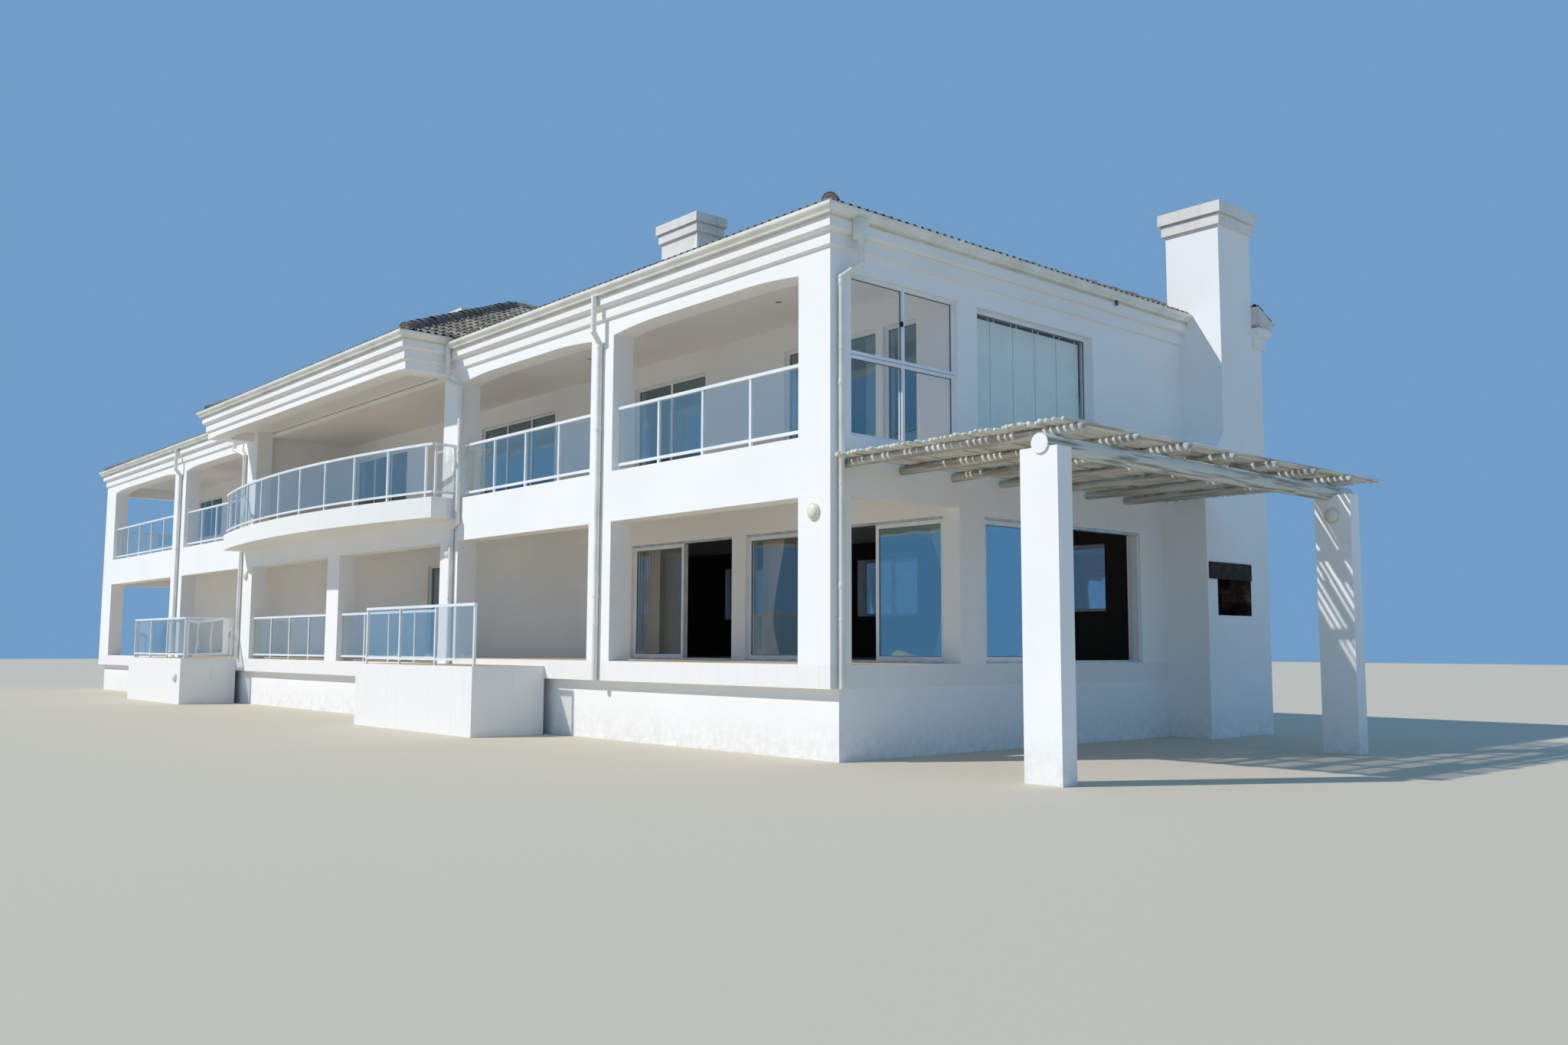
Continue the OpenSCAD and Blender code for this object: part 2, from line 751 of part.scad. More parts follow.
module panel_row(x, y, z, n) {
    translate([x, y, z]) rotate([roof_pitch, 0, 0]) translate([0, 780, 0.5])
        for (i = [0:n - 1])
            block([-(i + 1) * (panel_w + 20), -i * (panel_w + 20) - 20], [0, panel_l], [0, 90]);
}

module solar_panels() {
    color("silver") place() {
        panel_row(-3000, -e, eave_top, 5);
        panel_row(-13500, cfe, eave_top + centre_rise, 2);
    }
}

post_xs = [[pergola_out - 620, pergola_out - 130], [pergola_out - 520, pergola_out - 20]];
log_x = pergola_out - 345;
log_front = -60;
rear_post_mid = (post_xs[1][0] + post_xs[1][1]) / 2;
post_ys = [[-40, 210], [6400, 6660]];
pole_y0 = 270;
pole_pitch = 1030;
pole_z = log_z + log_d / 2 + pole_d / 2 - 12;

// The log lies along Y
module log_solid() {
    translate([log_x, log_front, log_z]) rotate([-90, 0, 0])
        cylinder(d = log_d, h = pergola_l - 500 - log_front, $fn = 48);
}

module pergola_posts() {
    color(white) place() difference() {
        for (i = [0:1])
            block(post_xs[i], post_ys[i], [-plinth_h, log_z - 40]);
        log_solid();
    }
}

module pergola_log() {
    color("lightgray") place() log_solid();
}

module pergola_poles() {
    color("lightgray") place() difference() {
        for (i = [0:pole_n - 1])
            translate([0, pole_y0 + i * pole_pitch, pole_z]) rotate([0, 90, 0])
                cylinder(d = pole_d, h = pergola_out, $fn = 32);
        log_solid();
        block([-1, pergola_out + 1], [-500, pergola_l + 500], [pole_z + pole_d / 2 - 4, pole_z + pole_d]);
    }
}

module pergola_laths() {
    color("lightgray") place()
        translate([0, 0, pole_z + pole_d / 2 - 4])
            for (x = [170:lath_pitch:pergola_out - 60])
                translate([x, 50, 0]) rotate([-90, 0, 0]) linear_extrude(pergola_l - 50)
                    polygon([for (a = [0:30:180]) [lath_d / 2 * cos(a), -lath_d / 2 * sin(a)]]);
}

// Balustrade runs of the upper verandas: left edge, right edge and number of panels
upper_runs = [[p2[1], p1[0], 4], [p3[1], p2[0], 4], [p5[1], p4[0], 4], [p6[1], p5[0], 5]];
rail_y = 110;

module upper_balustrades() {
    color("white") place() {
        for (r = upper_runs)
            translate([r[0], rail_y, 0]) balustrade(r[1] - r[0], kerb_top, r[2]);
        along_y(-house_l + 120, pier_d) balustrade(veranda_d - pier_d, kerb_top, 2);
    }
}

post_a = asin((arc_half - 200) / arc_r);
rail_x = [centre_x - arc_half, centre_x + arc_half];
return_y = -415;

// A bar along the whole balcony edge
module arc_rail(w, z) {
    difference() {
        arc_plate(arc_r + w / 2, rail_x, z);
        arc_plate(arc_r - w / 2, [rail_x[0] - 1, rail_x[1] + 1], [z[0] - 1, z[1] + 1]);
    }
}

// A sector of a bar that follows the balcony edge
module arc_bar(a0, a1, w, z) {
    translate([centre_x, arc_y, z[0]]) rotate(-90 + a0) rotate_extrude(angle = a1 - a0, $fn = 1440)
        translate([arc_r - w / 2, 0]) square([w, z[1] - z[0]]);
}

module balcony_balustrade() {
    color("white") place() {
        for (i = [0:9])
            translate([centre_x, arc_y, 0]) rotate(-90 - post_a + i * post_a * 2 / 9)
                block([arc_r - post_w / 2, arc_r + post_w / 2], [-post_w / 2, post_w / 2],
                    [kerb_top, kerb_top + rail_h - 30]);
        arc_rail(60, [kerb_top + rail_h - 45, kerb_top + rail_h]);
        arc_rail(post_w, [kerb_top + rail_gap, kerb_top + rail_gap + 40]);
        for (s = [-1, 1])
            along_y(centre_x + s * (arc_half - 30), return_y) balustrade(-return_y, kerb_top, 1);
    }
}

// Ground floor runs along X: left edge, right edge, y, floor and number of panels
ground_runs = [[p4[1], centre_x - mid_pier_w / 2, rail_y, -step_h, 4],
    [centre_x + mid_pier_w / 2, p3[0], rail_y, -step_h, 4],
    [p3[0] - 400, p3[1] + 2970, -1180, -step_h, 3],
    [p4[0] - 4420, p4[0] - 180, -1180, -step_h, 3]];

terrace_ends = [p4[0] - 200, p4[0] - 4400];

module ground_balustrades() {
    color("white") place() {
        for (r = ground_runs)
            translate([r[0], r[2], 0]) balustrade(r[1] - r[0], r[3], r[4]);
        for (x = terrace_ends)
            along_y(x, -1140) balustrade(1080, -step_h, 1);
    }
}

module balustrade_glass() {
    color("powderblue", 0.4) place() {
        for (r = upper_runs)
            translate([r[0], rail_y, 0]) balustrade_panes(r[1] - r[0], kerb_top, r[2]);
        along_y(-house_l + 120, pier_d) balustrade_panes(veranda_d - pier_d, kerb_top, 2);
        for (r = ground_runs)
            translate([r[0], r[2], 0]) balustrade_panes(r[1] - r[0], r[3], r[4]);
        for (x = terrace_ends)
            along_y(x, -1140) balustrade_panes(1080, -step_h, 1);
        for (s = [-1, 1])
            along_y(centre_x + s * (arc_half - 30), return_y) balustrade_panes(-return_y, kerb_top, 1);
        gap = asin((post_w / 2 + 1) / arc_r);
        for (i = [0:8])
            arc_bar(-post_a + i * post_a * 2 / 9 + gap, -post_a + (i + 1) * post_a * 2 / 9 - gap, glass_t,
                [kerb_top + rail_gap + 40, kerb_top + rail_h - 45]);
    }
}

// How far the fixed frames are set back from the outer face of their wall, and their depth
frame_in = 60;
side_window_in = 110;
frame_d = 70;
screen_rail = 3990;

module window_frames() {
    y = [veranda_d + frame_in, veranda_d + frame_in + frame_d];
    rear = [house_d - frame_in - frame_d, house_d - frame_in];
    color("white") place() {
        for (w = upper_front)
            frame_x([w[0], w[1]], y, [w[2], upper_door_head], w[3]);
        frame_x(centre_door, y, [0, door_head], 1);
        for (x = rear_windows)
            for (z = rear_sills)
                frame_x([x, x + rear_win_w], rear, [z, z + rear_win_h], 2);
        for (z = rear_sills)
            along_y(-house_l + frame_in + frame_d, left_window_y)
                frame_x([0, rear_win_w], [0, frame_d], [z, z + rear_win_h], 2);
        along_y(-side_window_in, side_window[0])
            frame_x([0, side_window[1] - side_window[0]], [0, frame_d], [side_window[2], side_window[3]], 1);
        along_y(-frame_in, side_screen[0]) {
            frame_x([0, screen_l], [0, frame_d], [side_screen[2], screen_rail], 2);
            frame_x([0, screen_l], [0, frame_d], [screen_rail, side_screen[3]], 2);
        }
    }
}

module window_glass() {
    mid = frame_d / 2;
    color("powderblue", 0.4) place() {
        for (w = upper_front)
            panes_x([w[0], w[1]], veranda_d + frame_in + mid, [w[2], upper_door_head], w[3]);
        panes_x(centre_door, veranda_d + frame_in + mid, [0, door_head], 1);
        for (x = rear_windows)
            for (z = rear_sills)
                panes_x([x, x + rear_win_w], house_d - frame_in - mid, [z, z + rear_win_h], 2);
        for (z = rear_sills)
            along_y(-house_l + frame_in + frame_d, left_window_y)
                panes_x([0, rear_win_w], mid, [z, z + rear_win_h], 2);
        along_y(-side_window_in, side_window[0])
            panes_x([0, side_window[1] - side_window[0]], mid, [side_window[2], side_window[3]], 1);
        along_y(-frame_in, side_screen[0]) {
            panes_x([0, screen_l], mid, [side_screen[2], screen_rail], 2);
            panes_x([0, screen_l], mid, [screen_rail, side_screen[3]], 2);
        }
        at_lounge() fixed_pane([jamb, jamb + leaf_w]);
        at_terrace() {
            fixed_pane([jamb, jamb + leaf_w]);
            fixed_pane([2 * leaf_w - 20, terrace_w - jamb]);
        }
        at_side() fixed_pane([jamb, jamb + side_leaf_w]);
    }
}

module wall_lights() {
    color("ivory") place()
        for (p = [[p1[0] / 2, 0, 1930], [(p3[0] + p3[1]) / 2, 0, 1930], [(p4[0] + p4[1]) / 2, 0, 1930],
            [p4[0] - 450, -terrace_d, -560], [rear_post_mid, post_ys[1][0], 2050]])
            translate(p) rotate([90, 0, 0]) cylinder(d = 220, h = 80, $fn = 40);
}

// Sliding doors: a frame round each doorway, fixed leaves on the outer track and one leaf that
// slides behind them on the inner track, clear of sill and head
clear = 6;
sill_h = 30;
head_h = 40;
leaf_z = [sill_h + clear, door_head - head_h - clear];
fixed_z = [sill_h, door_head - head_h];
leaf_w = 1480;
side_leaf_w = 1980;
track_1 = 50;
track_2 = 100;
door_d = 120;
jamb = 30;
lounge_w = lounge_door[1] - lounge_door[0];
terrace_w = terrace_door[1] - terrace_door[0];
side_w = side_door[1] - side_door[0];

// The frame of a doorway of width w, drawn from its left jamb
module tracks(w) {
    for (z = [[0, sill_h], [door_head - head_h, door_head]])
        block([0, w], [track_1 - 10, track_1 - 10 + door_d], z);
}

module jambs(w) {
    for (x = [0, w - jamb])
        block([x, x + jamb], [track_1 - 10, track_1 - 10 + door_d], fixed_z);
}

// A fixed leaf on the outer track between two limits, and its pane
module fixed_leaf(x) {
    frame_x(x, [track_1, track_1 + leaf_t], fixed_z, 1, 60);
}

module fixed_pane(x) {
    panes_x(x, track_1 + leaf_t / 2, fixed_z, 1, 60);
}

// The sliding leaf at rest behind the fixed one, and its pane
module slide_leaf(w) {
    frame_x([jamb + clear, jamb + clear + w], [track_2, track_2 + leaf_t], leaf_z, 1, 60);
}

module slide_pane(w) {
    panes_x([jamb + clear, jamb + clear + w], track_2 + leaf_t / 2, leaf_z, 1, 60);
}

// The places of the doorways
module at_lounge() {
    translate([lounge_door[0], veranda_d, 0]) children();
}

module at_terrace() {
    translate([terrace_door[0], veranda_d, 0]) children();
}

module at_side() {
    along_y(0, side_door[0]) children();
}

module door_tracks() {
    color("white") place() {
        at_lounge() tracks(lounge_w);
        at_terrace() tracks(terrace_w);
        at_side() tracks(side_w);
    }
}

module door_jambs() {
    color("white") place() {
        at_lounge() jambs(lounge_w);
        at_terrace() jambs(terrace_w);
        at_side() jambs(side_w);
    }
}

module fixed_leaves() {
    color("white") place() {
        at_lounge() fixed_leaf([jamb, jamb + leaf_w]);
        at_terrace() fixed_leaf([jamb, jamb + leaf_w]);
        at_terrace() fixed_leaf([2 * leaf_w - 20, terrace_w - jamb]);
        at_side() fixed_leaf([jamb, jamb + side_leaf_w]);
    }
}

module lounge_door_leaf() {
    color("white") place() at_lounge() slide_leaf(leaf_w);
}

module lounge_door_glass() {
    color("powderblue", 0.4) place() at_lounge() slide_pane(leaf_w);
}

module terrace_door_leaf() {
    color("white") place() at_terrace() slide_leaf(leaf_w);
}

module terrace_door_glass() {
    color("powderblue", 0.4) place() at_terrace() slide_pane(leaf_w);
}

module side_door_leaf() {
    color("white") place() at_side() slide_leaf(side_leaf_w);
}

module side_door_glass() {
    color("powderblue", 0.4) place() at_side() slide_pane(side_leaf_w);
}

plinth_long();
plinth_ends();
floor_rooms();
veranda_floors();
terraces();
ground_piers();
upper_piers();
floor_beams();
centre_floor_beam();
end_beams();
upper_slab();
balcony_slab();
ground_front_wall();
door_piers();
door_lintels();
upper_front_wall();
side_wall_right();
side_wall_left();
rear_wall();
veranda_divider();
upper_beams();
centre_beam();
ceiling();
cornice_wings();
cornice_sides();
cornice_centre();
cornice_rear();
roof_front();
roof_ends();
roof_rear();
roof_centre_front();
roof_centre_sides();
gutters();
rain_pipes();
side_chimney();
fireplace();
fireplace_hood();
ridge_chimneys();
solar_panels();
pergola_posts();
pergola_log();
pergola_poles();
pergola_laths();
upper_balustrades();
balcony_balustrade();
ground_balustrades();
balustrade_glass();
window_frames();
window_glass();
door_tracks();
door_jambs();
fixed_leaves();
wall_lights();
terrace_door_leaf();
terrace_door_glass();
lounge_door_leaf();
lounge_door_glass();
side_door_leaf();
side_door_glass();
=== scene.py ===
import bpy
import math
import random
from mathutils import Matrix, Vector


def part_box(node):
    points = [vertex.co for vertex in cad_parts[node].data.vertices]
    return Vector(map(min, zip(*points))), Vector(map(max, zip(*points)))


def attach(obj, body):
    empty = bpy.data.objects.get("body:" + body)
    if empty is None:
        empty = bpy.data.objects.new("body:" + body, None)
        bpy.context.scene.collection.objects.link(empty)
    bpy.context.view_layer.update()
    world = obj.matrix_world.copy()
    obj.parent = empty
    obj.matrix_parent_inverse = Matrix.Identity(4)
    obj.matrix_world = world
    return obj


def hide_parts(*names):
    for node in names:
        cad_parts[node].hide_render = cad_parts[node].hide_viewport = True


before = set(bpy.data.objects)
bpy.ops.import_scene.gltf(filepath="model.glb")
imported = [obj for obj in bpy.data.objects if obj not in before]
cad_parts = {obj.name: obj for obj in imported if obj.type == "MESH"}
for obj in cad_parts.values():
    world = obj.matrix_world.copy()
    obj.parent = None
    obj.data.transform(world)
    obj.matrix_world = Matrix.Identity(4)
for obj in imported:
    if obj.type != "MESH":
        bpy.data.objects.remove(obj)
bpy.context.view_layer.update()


def rounded(values):
    """Measures of the frame, to a tenth of a millimetre."""
    return [round(v, 4) for v in values]


# House metres start at the outer front corner of the right wing, at the floor of the rooms
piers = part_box("ground_piers")
ROW = Vector(rounded((piers[1].x, piers[0].y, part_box("floor_rooms")[1].z)))


def at(x, y, z=0.0):
    """A point of the house, in the row frame."""
    return ROW + Vector((x, y, z))


def extent(node_name):
    """The lowest and highest corner of a CAD node, in house metres."""
    return [rounded(corner - ROW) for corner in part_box(node_name)]


# Camera, at the place and angle of the photograph
CAMERA_AT = (11.566, -10.986, 0.214)
CAMERA_TURN = (95.557, -0.191, 48.529)

camera = bpy.data.objects.new("camera", bpy.data.cameras.new("camera"))
camera.data.lens = 29.46
camera.data.sensor_width = 36.0
camera.data.clip_end = 500.0
camera.location = at(*CAMERA_AT)
camera.rotation_euler = [math.radians(a) for a in CAMERA_TURN]
bpy.context.scene.collection.objects.link(camera)
bpy.context.scene.camera = camera


# Materials
def srgb(text):
    """A colour written as #RRGGBB, turned to linear."""
    parts = [int(text[i:i + 2], 16) / 255 for i in (1, 3, 5)]
    return tuple(c / 12.92 if c <= 0.04045 else ((c + 0.055) / 1.055) ** 2.4 for c in parts) + (1.0,)


def node(tree, kind, inputs=None, **settings):
    """Adds a node, sets its options, then fills its inputs with values or links."""
    new = tree.nodes.new("ShaderNode" + kind)
    for name, value in settings.items():
        setattr(new, name, value)
    for name, value in (inputs or {}).items():
        if isinstance(value, bpy.types.NodeSocket):
            tree.links.new(value, new.inputs[name])
        else:
            new.inputs[name].default_value = value
    return new


def surface(name, **values):
    """A new material: gives the material, its tree, its shader and its object coordinates."""
    made = bpy.data.materials.new(name)
    made.use_nodes = True
    tree = made.node_tree
    tree.nodes.clear()
    shader = node(tree, "BsdfPrincipled", {key.replace("_", " "): v for key, v in values.items()})
    node(tree, "OutputMaterial", {"Surface": shader.outputs[0]})
    place = node(tree, "TexCoord").outputs["Object"]
    return made, tree, shader, place


def mottle(tree, place, scale, low=0.2, high=0.8, detail=2.0):
    """Soft patches, so many to the metre, spread between two limits."""
    noise = node(tree, "TexNoise", {"Vector": place, "Scale": scale, "Detail": detail})
    spread = node(tree, "MapRange", {"Value": noise.outputs["Fac"], "From Min": low, "From Max": high})
    return spread.outputs[0]


def lay_colours(tree, shader, ground, *layers):
    """Colours laid over a ground one by one; a layer is its pattern, how far it covers, and its colour."""
    under = srgb(ground) if isinstance(ground, str) else ground
    for pattern, cover, colour in layers:
        if cover < 1.0:
            pattern = node(tree, "Math", {0: pattern, 1: cover}, operation="MULTIPLY").outputs[0]
        under = node(tree, "Mix", {0: pattern, 6: under, 7: srgb(colour)}, data_type="RGBA").outputs[2]
    tree.links.new(under, shader.inputs["Base Color"])


def press(tree, shader, *marks):
    """Marks pressed over one another; each is its pattern and its depth in metres."""
    under = {}
    for pattern, depth in marks:
        bump = node(tree, "Bump", {"Height": pattern, "Distance": depth, "Strength": 1.0, **under})
        under = {"Normal": bump.outputs[0]}
    tree.links.new(bump.outputs[0], shader.inputs["Normal"])


SPLASH_TOP = 0.55
SPLASH_COVER = 0.28


def plaster(name, clean, stained, dirt, streaks=0.05):
    """Cement plaster, floated by hand and limewashed many times: chalky white with float marks 30 mm wide,
    a sandy grain drawn 8 mm coarse, faint rain streaks, and sand splashed on the lowest half metre."""
    made, tree, shader, place = surface(name, Roughness=0.9)
    clouds = mottle(tree, place, 0.7, 0.35, 0.75, 4.0)
    drawn_out = node(tree, "Mapping", {"Vector": place, "Scale": (5.0, 5.0, 0.35)}).outputs[0]
    rain = mottle(tree, drawn_out, 1.0, 0.55, 0.8, 4.0)
    height = node(tree, "SeparateXYZ", {"Vector": place}).outputs["Z"]
    foot = node(tree, "MapRange", {"Value": height, "From Min": SPLASH_TOP, "From Max": 0.0}).outputs[0]
    drops = mottle(tree, place, 9.0, 0.3, 0.7, 4.0)
    splash = node(tree, "Math", {0: foot, 1: drops}, operation="MULTIPLY").outputs[0]
    lay_colours(tree, shader, clean, (clouds, 1.0, stained), (rain, streaks, dirt),
                (splash, SPLASH_COVER, "#A99C86"))
    float_marks = mottle(tree, place, 33.0)
    sand_grain = mottle(tree, place, 125.0)
    press(tree, shader, (float_marks, 0.0012), (sand_grain, 0.0006))
    return made


def coated(name, colour, worn, roughness):
    """Powder-coated or moulded trim: one even colour, chalked by the salt air, with a faint orange peel drawn
    17 mm wide so that it shows."""
    made, tree, shader, place = surface(name, Roughness=roughness)
    chalk = mottle(tree, place, 2.5, 0.4, 0.75, 4.0)
    lay_colours(tree, shader, colour, (chalk, 1.0, worn))
    orange_peel = mottle(tree, place, 60.0)
    press(tree, shader, (orange_peel, 0.0003))
    return made


def concrete_tile(name, dark, pale, lichen):
    """Extruded concrete roof tile, weathered: every tile has its own tone, salt and lichen bleach it in spots
    of up to 60 mm, and the sand facing, drawn 6 mm coarse, gives a matt skin."""
    made, tree, shader, place = surface(name, Roughness=0.92)
    tone = node(tree, "Attribute", attribute_name="tone").outputs["Fac"]
    spots = mottle(tree, place, 16.0, 0.52, 0.66, 6.0)
    damp = mottle(tree, place, 1.3, 0.5, 0.7, 4.0)
    lay_colours(tree, shader, dark, (tone, 1.0, pale), (spots, 1.0, lichen), (damp, 0.6, "#4A443C"))
    sand_facing = mottle(tree, place, 180.0, detail=3.0)
    press(tree, shader, (sand_facing, 0.0012))
    return made


# Scale of the grain along a pole and across it
GRAIN_LONG, GRAIN_WIDE = 1.2, 22.0


def limed_wood(name, wood, lime, bare, along):
    """Peeled gum pole, limewashed: the wash has gone thin, so grey wood shows in long flakes and cracks that
    run with the grain. bare says how much wood shows, and along is the axis that the pole lies on."""
    made, tree, shader, place = surface(name, Roughness=0.85)
    stretch = [GRAIN_LONG if axis == along else GRAIN_WIDE for axis in "xyz"]
    grain = node(tree, "Mapping", {"Vector": place, "Scale": stretch}).outputs[0]
    flakes = mottle(tree, grain, 1.0, bare, bare + 0.12, 5.0)
    fibres = mottle(tree, grain, 4.0, 0.3, 0.7, 3.0)
    lay_colours(tree, shader, wood, (fibres, 1.0, "#A39C8E"), (flakes, 1.0, lime))
    press(tree, shader, (fibres, 0.0008), (flakes, 0.0006))
    return made


def tiled_floor(name, clay, other_clay, grout, size):
    """Square ceramic floor tiles with grey grout 8 mm wide on the upper faces, and limewashed plaster on the
    edges below."""
    made, tree, shader, place = surface(name)
    tiles = node(tree, "TexBrick", {"Vector": place, "Color1": srgb(clay), "Color2": srgb(other_clay),
                                    "Mortar": srgb(grout), "Scale": 1.0, "Mortar Size": 0.004,
                                    "Brick Width": size, "Row Height": size}, offset=0.0)
    clouds = mottle(tree, place, 5.0, 0.3, 0.8, 4.0)
    facing = node(tree, "SeparateXYZ", {"Vector": node(tree, "NewGeometry").outputs["Normal"]}).outputs["Z"]
    edge = node(tree, "Math", {0: facing, 1: 0.5}, operation="LESS_THAN").outputs[0]
    lay_colours(tree, shader, tiles.outputs["Color"], (clouds, 0.35, "#B9AB97"), (edge, 1.0, "#F1EFEB"))
    rough = node(tree, "MapRange", {"Value": edge, "To Min": 0.45, "To Max": 0.9}).outputs[0]
    tree.links.new(rough, shader.inputs["Roughness"])
    press(tree, shader, (tiles.outputs["Fac"], -0.002))
    return made


def pane(name, tint, share):
    """Float glass, toughened in a roller furnace: seen through, with a sharp reflection of the sky that its
    rollers left faintly wavy over about half a metre. share is what each face hides of what is behind it."""
    made, tree, shader, place = surface(name, Base_Color=srgb(tint), Roughness=0.03, Metallic=1.0,
                                        Alpha=share)
    waves = mottle(tree, place, 1.8, detail=1.0)
    press(tree, shader, (waves, 0.003))
    return made


def fired(name, clay, other_clay, burnt, joint, long, high):
    """Brick lining laid in half bond, blackened by soot in clouds, with sunk joints 10 mm wide."""
    made, tree, shader, place = surface(name, Roughness=0.95)
    parts = node(tree, "SeparateXYZ", {"Vector": place}).outputs
    round_corners = node(tree, "Math", {0: parts["X"], 1: parts["Y"]}, operation="ADD").outputs[0]
    flat = node(tree, "CombineXYZ", {"X": round_corners, "Y": parts["Z"]}).outputs[0]
    bricks = node(tree, "TexBrick", {"Vector": flat, "Color1": srgb(clay), "Color2": srgb(other_clay),
                                     "Mortar": srgb(joint), "Scale": 1.0, "Mortar Size": 0.005,
                                     "Brick Width": long, "Row Height": high})
    soot = mottle(tree, place, 3.5, 0.25, 0.6, 4.0)
    lay_colours(tree, shader, bricks.outputs["Color"], (soot, 1.0, burnt))
    press(tree, shader, (bricks.outputs["Fac"], -0.004))
    return made


def solar_glass(name, cell, other_cell, wire, pitch):
    """Dark blue silicon cells under glass, one to each pitch, with silver wires drawn 4 mm wide between
    them."""
    made, tree, shader, place = surface(name, Roughness=0.2)
    level = node(tree, "Mapping", {"Vector": place, "Rotation": (-PITCH, 0, 0)}).outputs[0]
    cells = node(tree, "TexBrick", {"Vector": level, "Color1": srgb(cell), "Color2": srgb(other_cell),
                                    "Mortar": srgb(wire), "Scale": 1.0, "Mortar Size": 0.002,
                                    "Brick Width": pitch, "Row Height": pitch}, offset=0.0)
    lay_colours(tree, shader, cells.outputs["Color"])
    press(tree, shader, (mottle(tree, place, 3.0, detail=4.0), 0.001))
    return made


def cloth(name, colour, fold):
    """Woven curtain cloth: matt with a soft sheen, slubs across the weave drawn 6 mm coarse."""
    made, tree, shader, place = surface(name, Roughness=0.95, Sheen_Weight=0.3)
    weave = node(tree, "Mapping", {"Vector": place, "Scale": (40.0, 40.0, 160.0)}).outputs[0]
    slubs = mottle(tree, weave, 1.0, 0.3, 0.7, 4.0)
    lay_colours(tree, shader, colour, (slubs, 1.0, fold))
    return made


def metal(name, colour, dull, roughness):
    """Rolled or extruded metal, weathered: dulled in clouds, with a fine pitting drawn 11 mm wide."""
    made, tree, shader, place = surface(name, Metallic=0.9, Roughness=roughness)
    clouds = mottle(tree, place, 6.0, 0.35, 0.7, 4.0)
    lay_colours(tree, shader, colour, (clouds, 1.0, dull))
    pitting = mottle(tree, place, 90.0, detail=4.0)
    press(tree, shader, (pitting, 0.0003))
    return made


PITCH = math.radians(25)    # slope of every roof

wall_white = plaster("limewashed_plaster", "#F8F7F5", "#F4F2EF", "#D6D0C6")
moulding_white = plaster("run_plaster_moulding", "#F6F4F1", "#F1EDE7", "#D2C8BA")
# Near-black plaster for the inner faces of the rooms: painted shade that stands for the dim interior seen
# through the glass
painted_room_shade = plaster("painted_shade_room_plaster", "#4A443E", "#433D38", "#3C3733", 0.02)
mortar = plaster("bedding_mortar", "#AFA08C", "#988B7A", "#7E7364", 0.2)
cap_white = plaster("weathered_cap_plaster", "#F1EEE9", "#D9D3C9", "#9B948A", 0.35)
end_grain = plaster("limed_end_grain", "#F4F5F4", "#EAEAE6", "#CFCCC4", 0.1)
fascia = coated("fascia_timber", "#DEDAD0", "#C9C3B6", 0.6)
gutter_white = coated("gutter_pvc", "#F3F0E6", "#DEDACD", 0.35)
frame_white = coated("powder_coated_aluminium", "#F3F5F7", "#E2E6EA", 0.35)
lamp_white = coated("moulded_lamp_base", "#ECE6D6", "#DDD5C2", 0.5)
lamp_opal = coated("opal_lamp_glass", "#F2EEDF", "#E6E0CC", 0.2)
lamp_dark = coated("downlight_reflector", "#4A4642", "#35322F", 0.3)
rubber = coated("glazing_rubber", "#4E5863", "#5F6973", 0.7)
outlet_dark = coated("dark_outlet_plastic", "#4C4640", "#3A3531", 0.5)
blind_cloth = coated("stiffened_blind_cloth", "#F2F7EE", "#E9F0E8", 0.8)
tile_grey = concrete_tile("double_roman_tile", "#645B50", "#9C9081", "#BDB3A2")
ridge_grey = concrete_tile("ridge_tile", "#6A6258", "#8B8276", "#B0A797")
floor_tile = tiled_floor("ceramic_floor_tile", "#D8BFA2", "#CDBFA8", "#A79D8D", 0.4)
pole_wood = limed_wood("limed_pole", "#ABA599", "#CCC8BD", 0.42, "x")
log_wood = limed_wood("limed_log", "#8F938E", "#D3D7D0", 0.39, "y")
lath_wood = limed_wood("limed_stick", "#B8B09F", "#E2DED2", 0.38, "y")
rail_glass = pane("rail_glass", "#F4FFFA", 0.23)
window_pane = pane("window_pane", "#B2DADF", 0.21)
rear_pane = pane("rear_window_pane", "#9CC3D8", 0.55)
screen_pane = pane("wind_screen_glass", "#D5E4EE", 0.06)
shaded_pane = pane("shaded_window_glass", "#CFE6E8", 0.05)
door_pane = pane("door_pane", "#D2F6FF", 0.285)
clear_pane = pane("clear_door_pane", "#D3DEDA", 0.1)
hood_steel = metal("blackened_steel", "#2B2826", "#4A403A", 0.6)
valley_zinc = metal("valley_zinc", "#8E9194", "#6F7072", 0.5)
track_alu = metal("door_track_aluminium", "#D9DCDE", "#B9BDC0", 0.35)
plated = metal("galvanised_steel", "#B9BCBE", "#8F9395", 0.45)
silicon = solar_glass("crystalline_silicon_cells", "#10202F", "#16293A", "#B9C3CA", 0.158)
fire_brick = fired("firebrick_lining", "#A88A6C", "#8A6F58", "#1E1A17", "#6B5F52", 0.23, 0.075)
curtain_cream = cloth("cream_curtain_cloth", "#F0E4D8", "#D6C9BC")
curtain_aqua = cloth("sea_green_curtain_cloth", "#D2E8D8", "#A9C6B6")

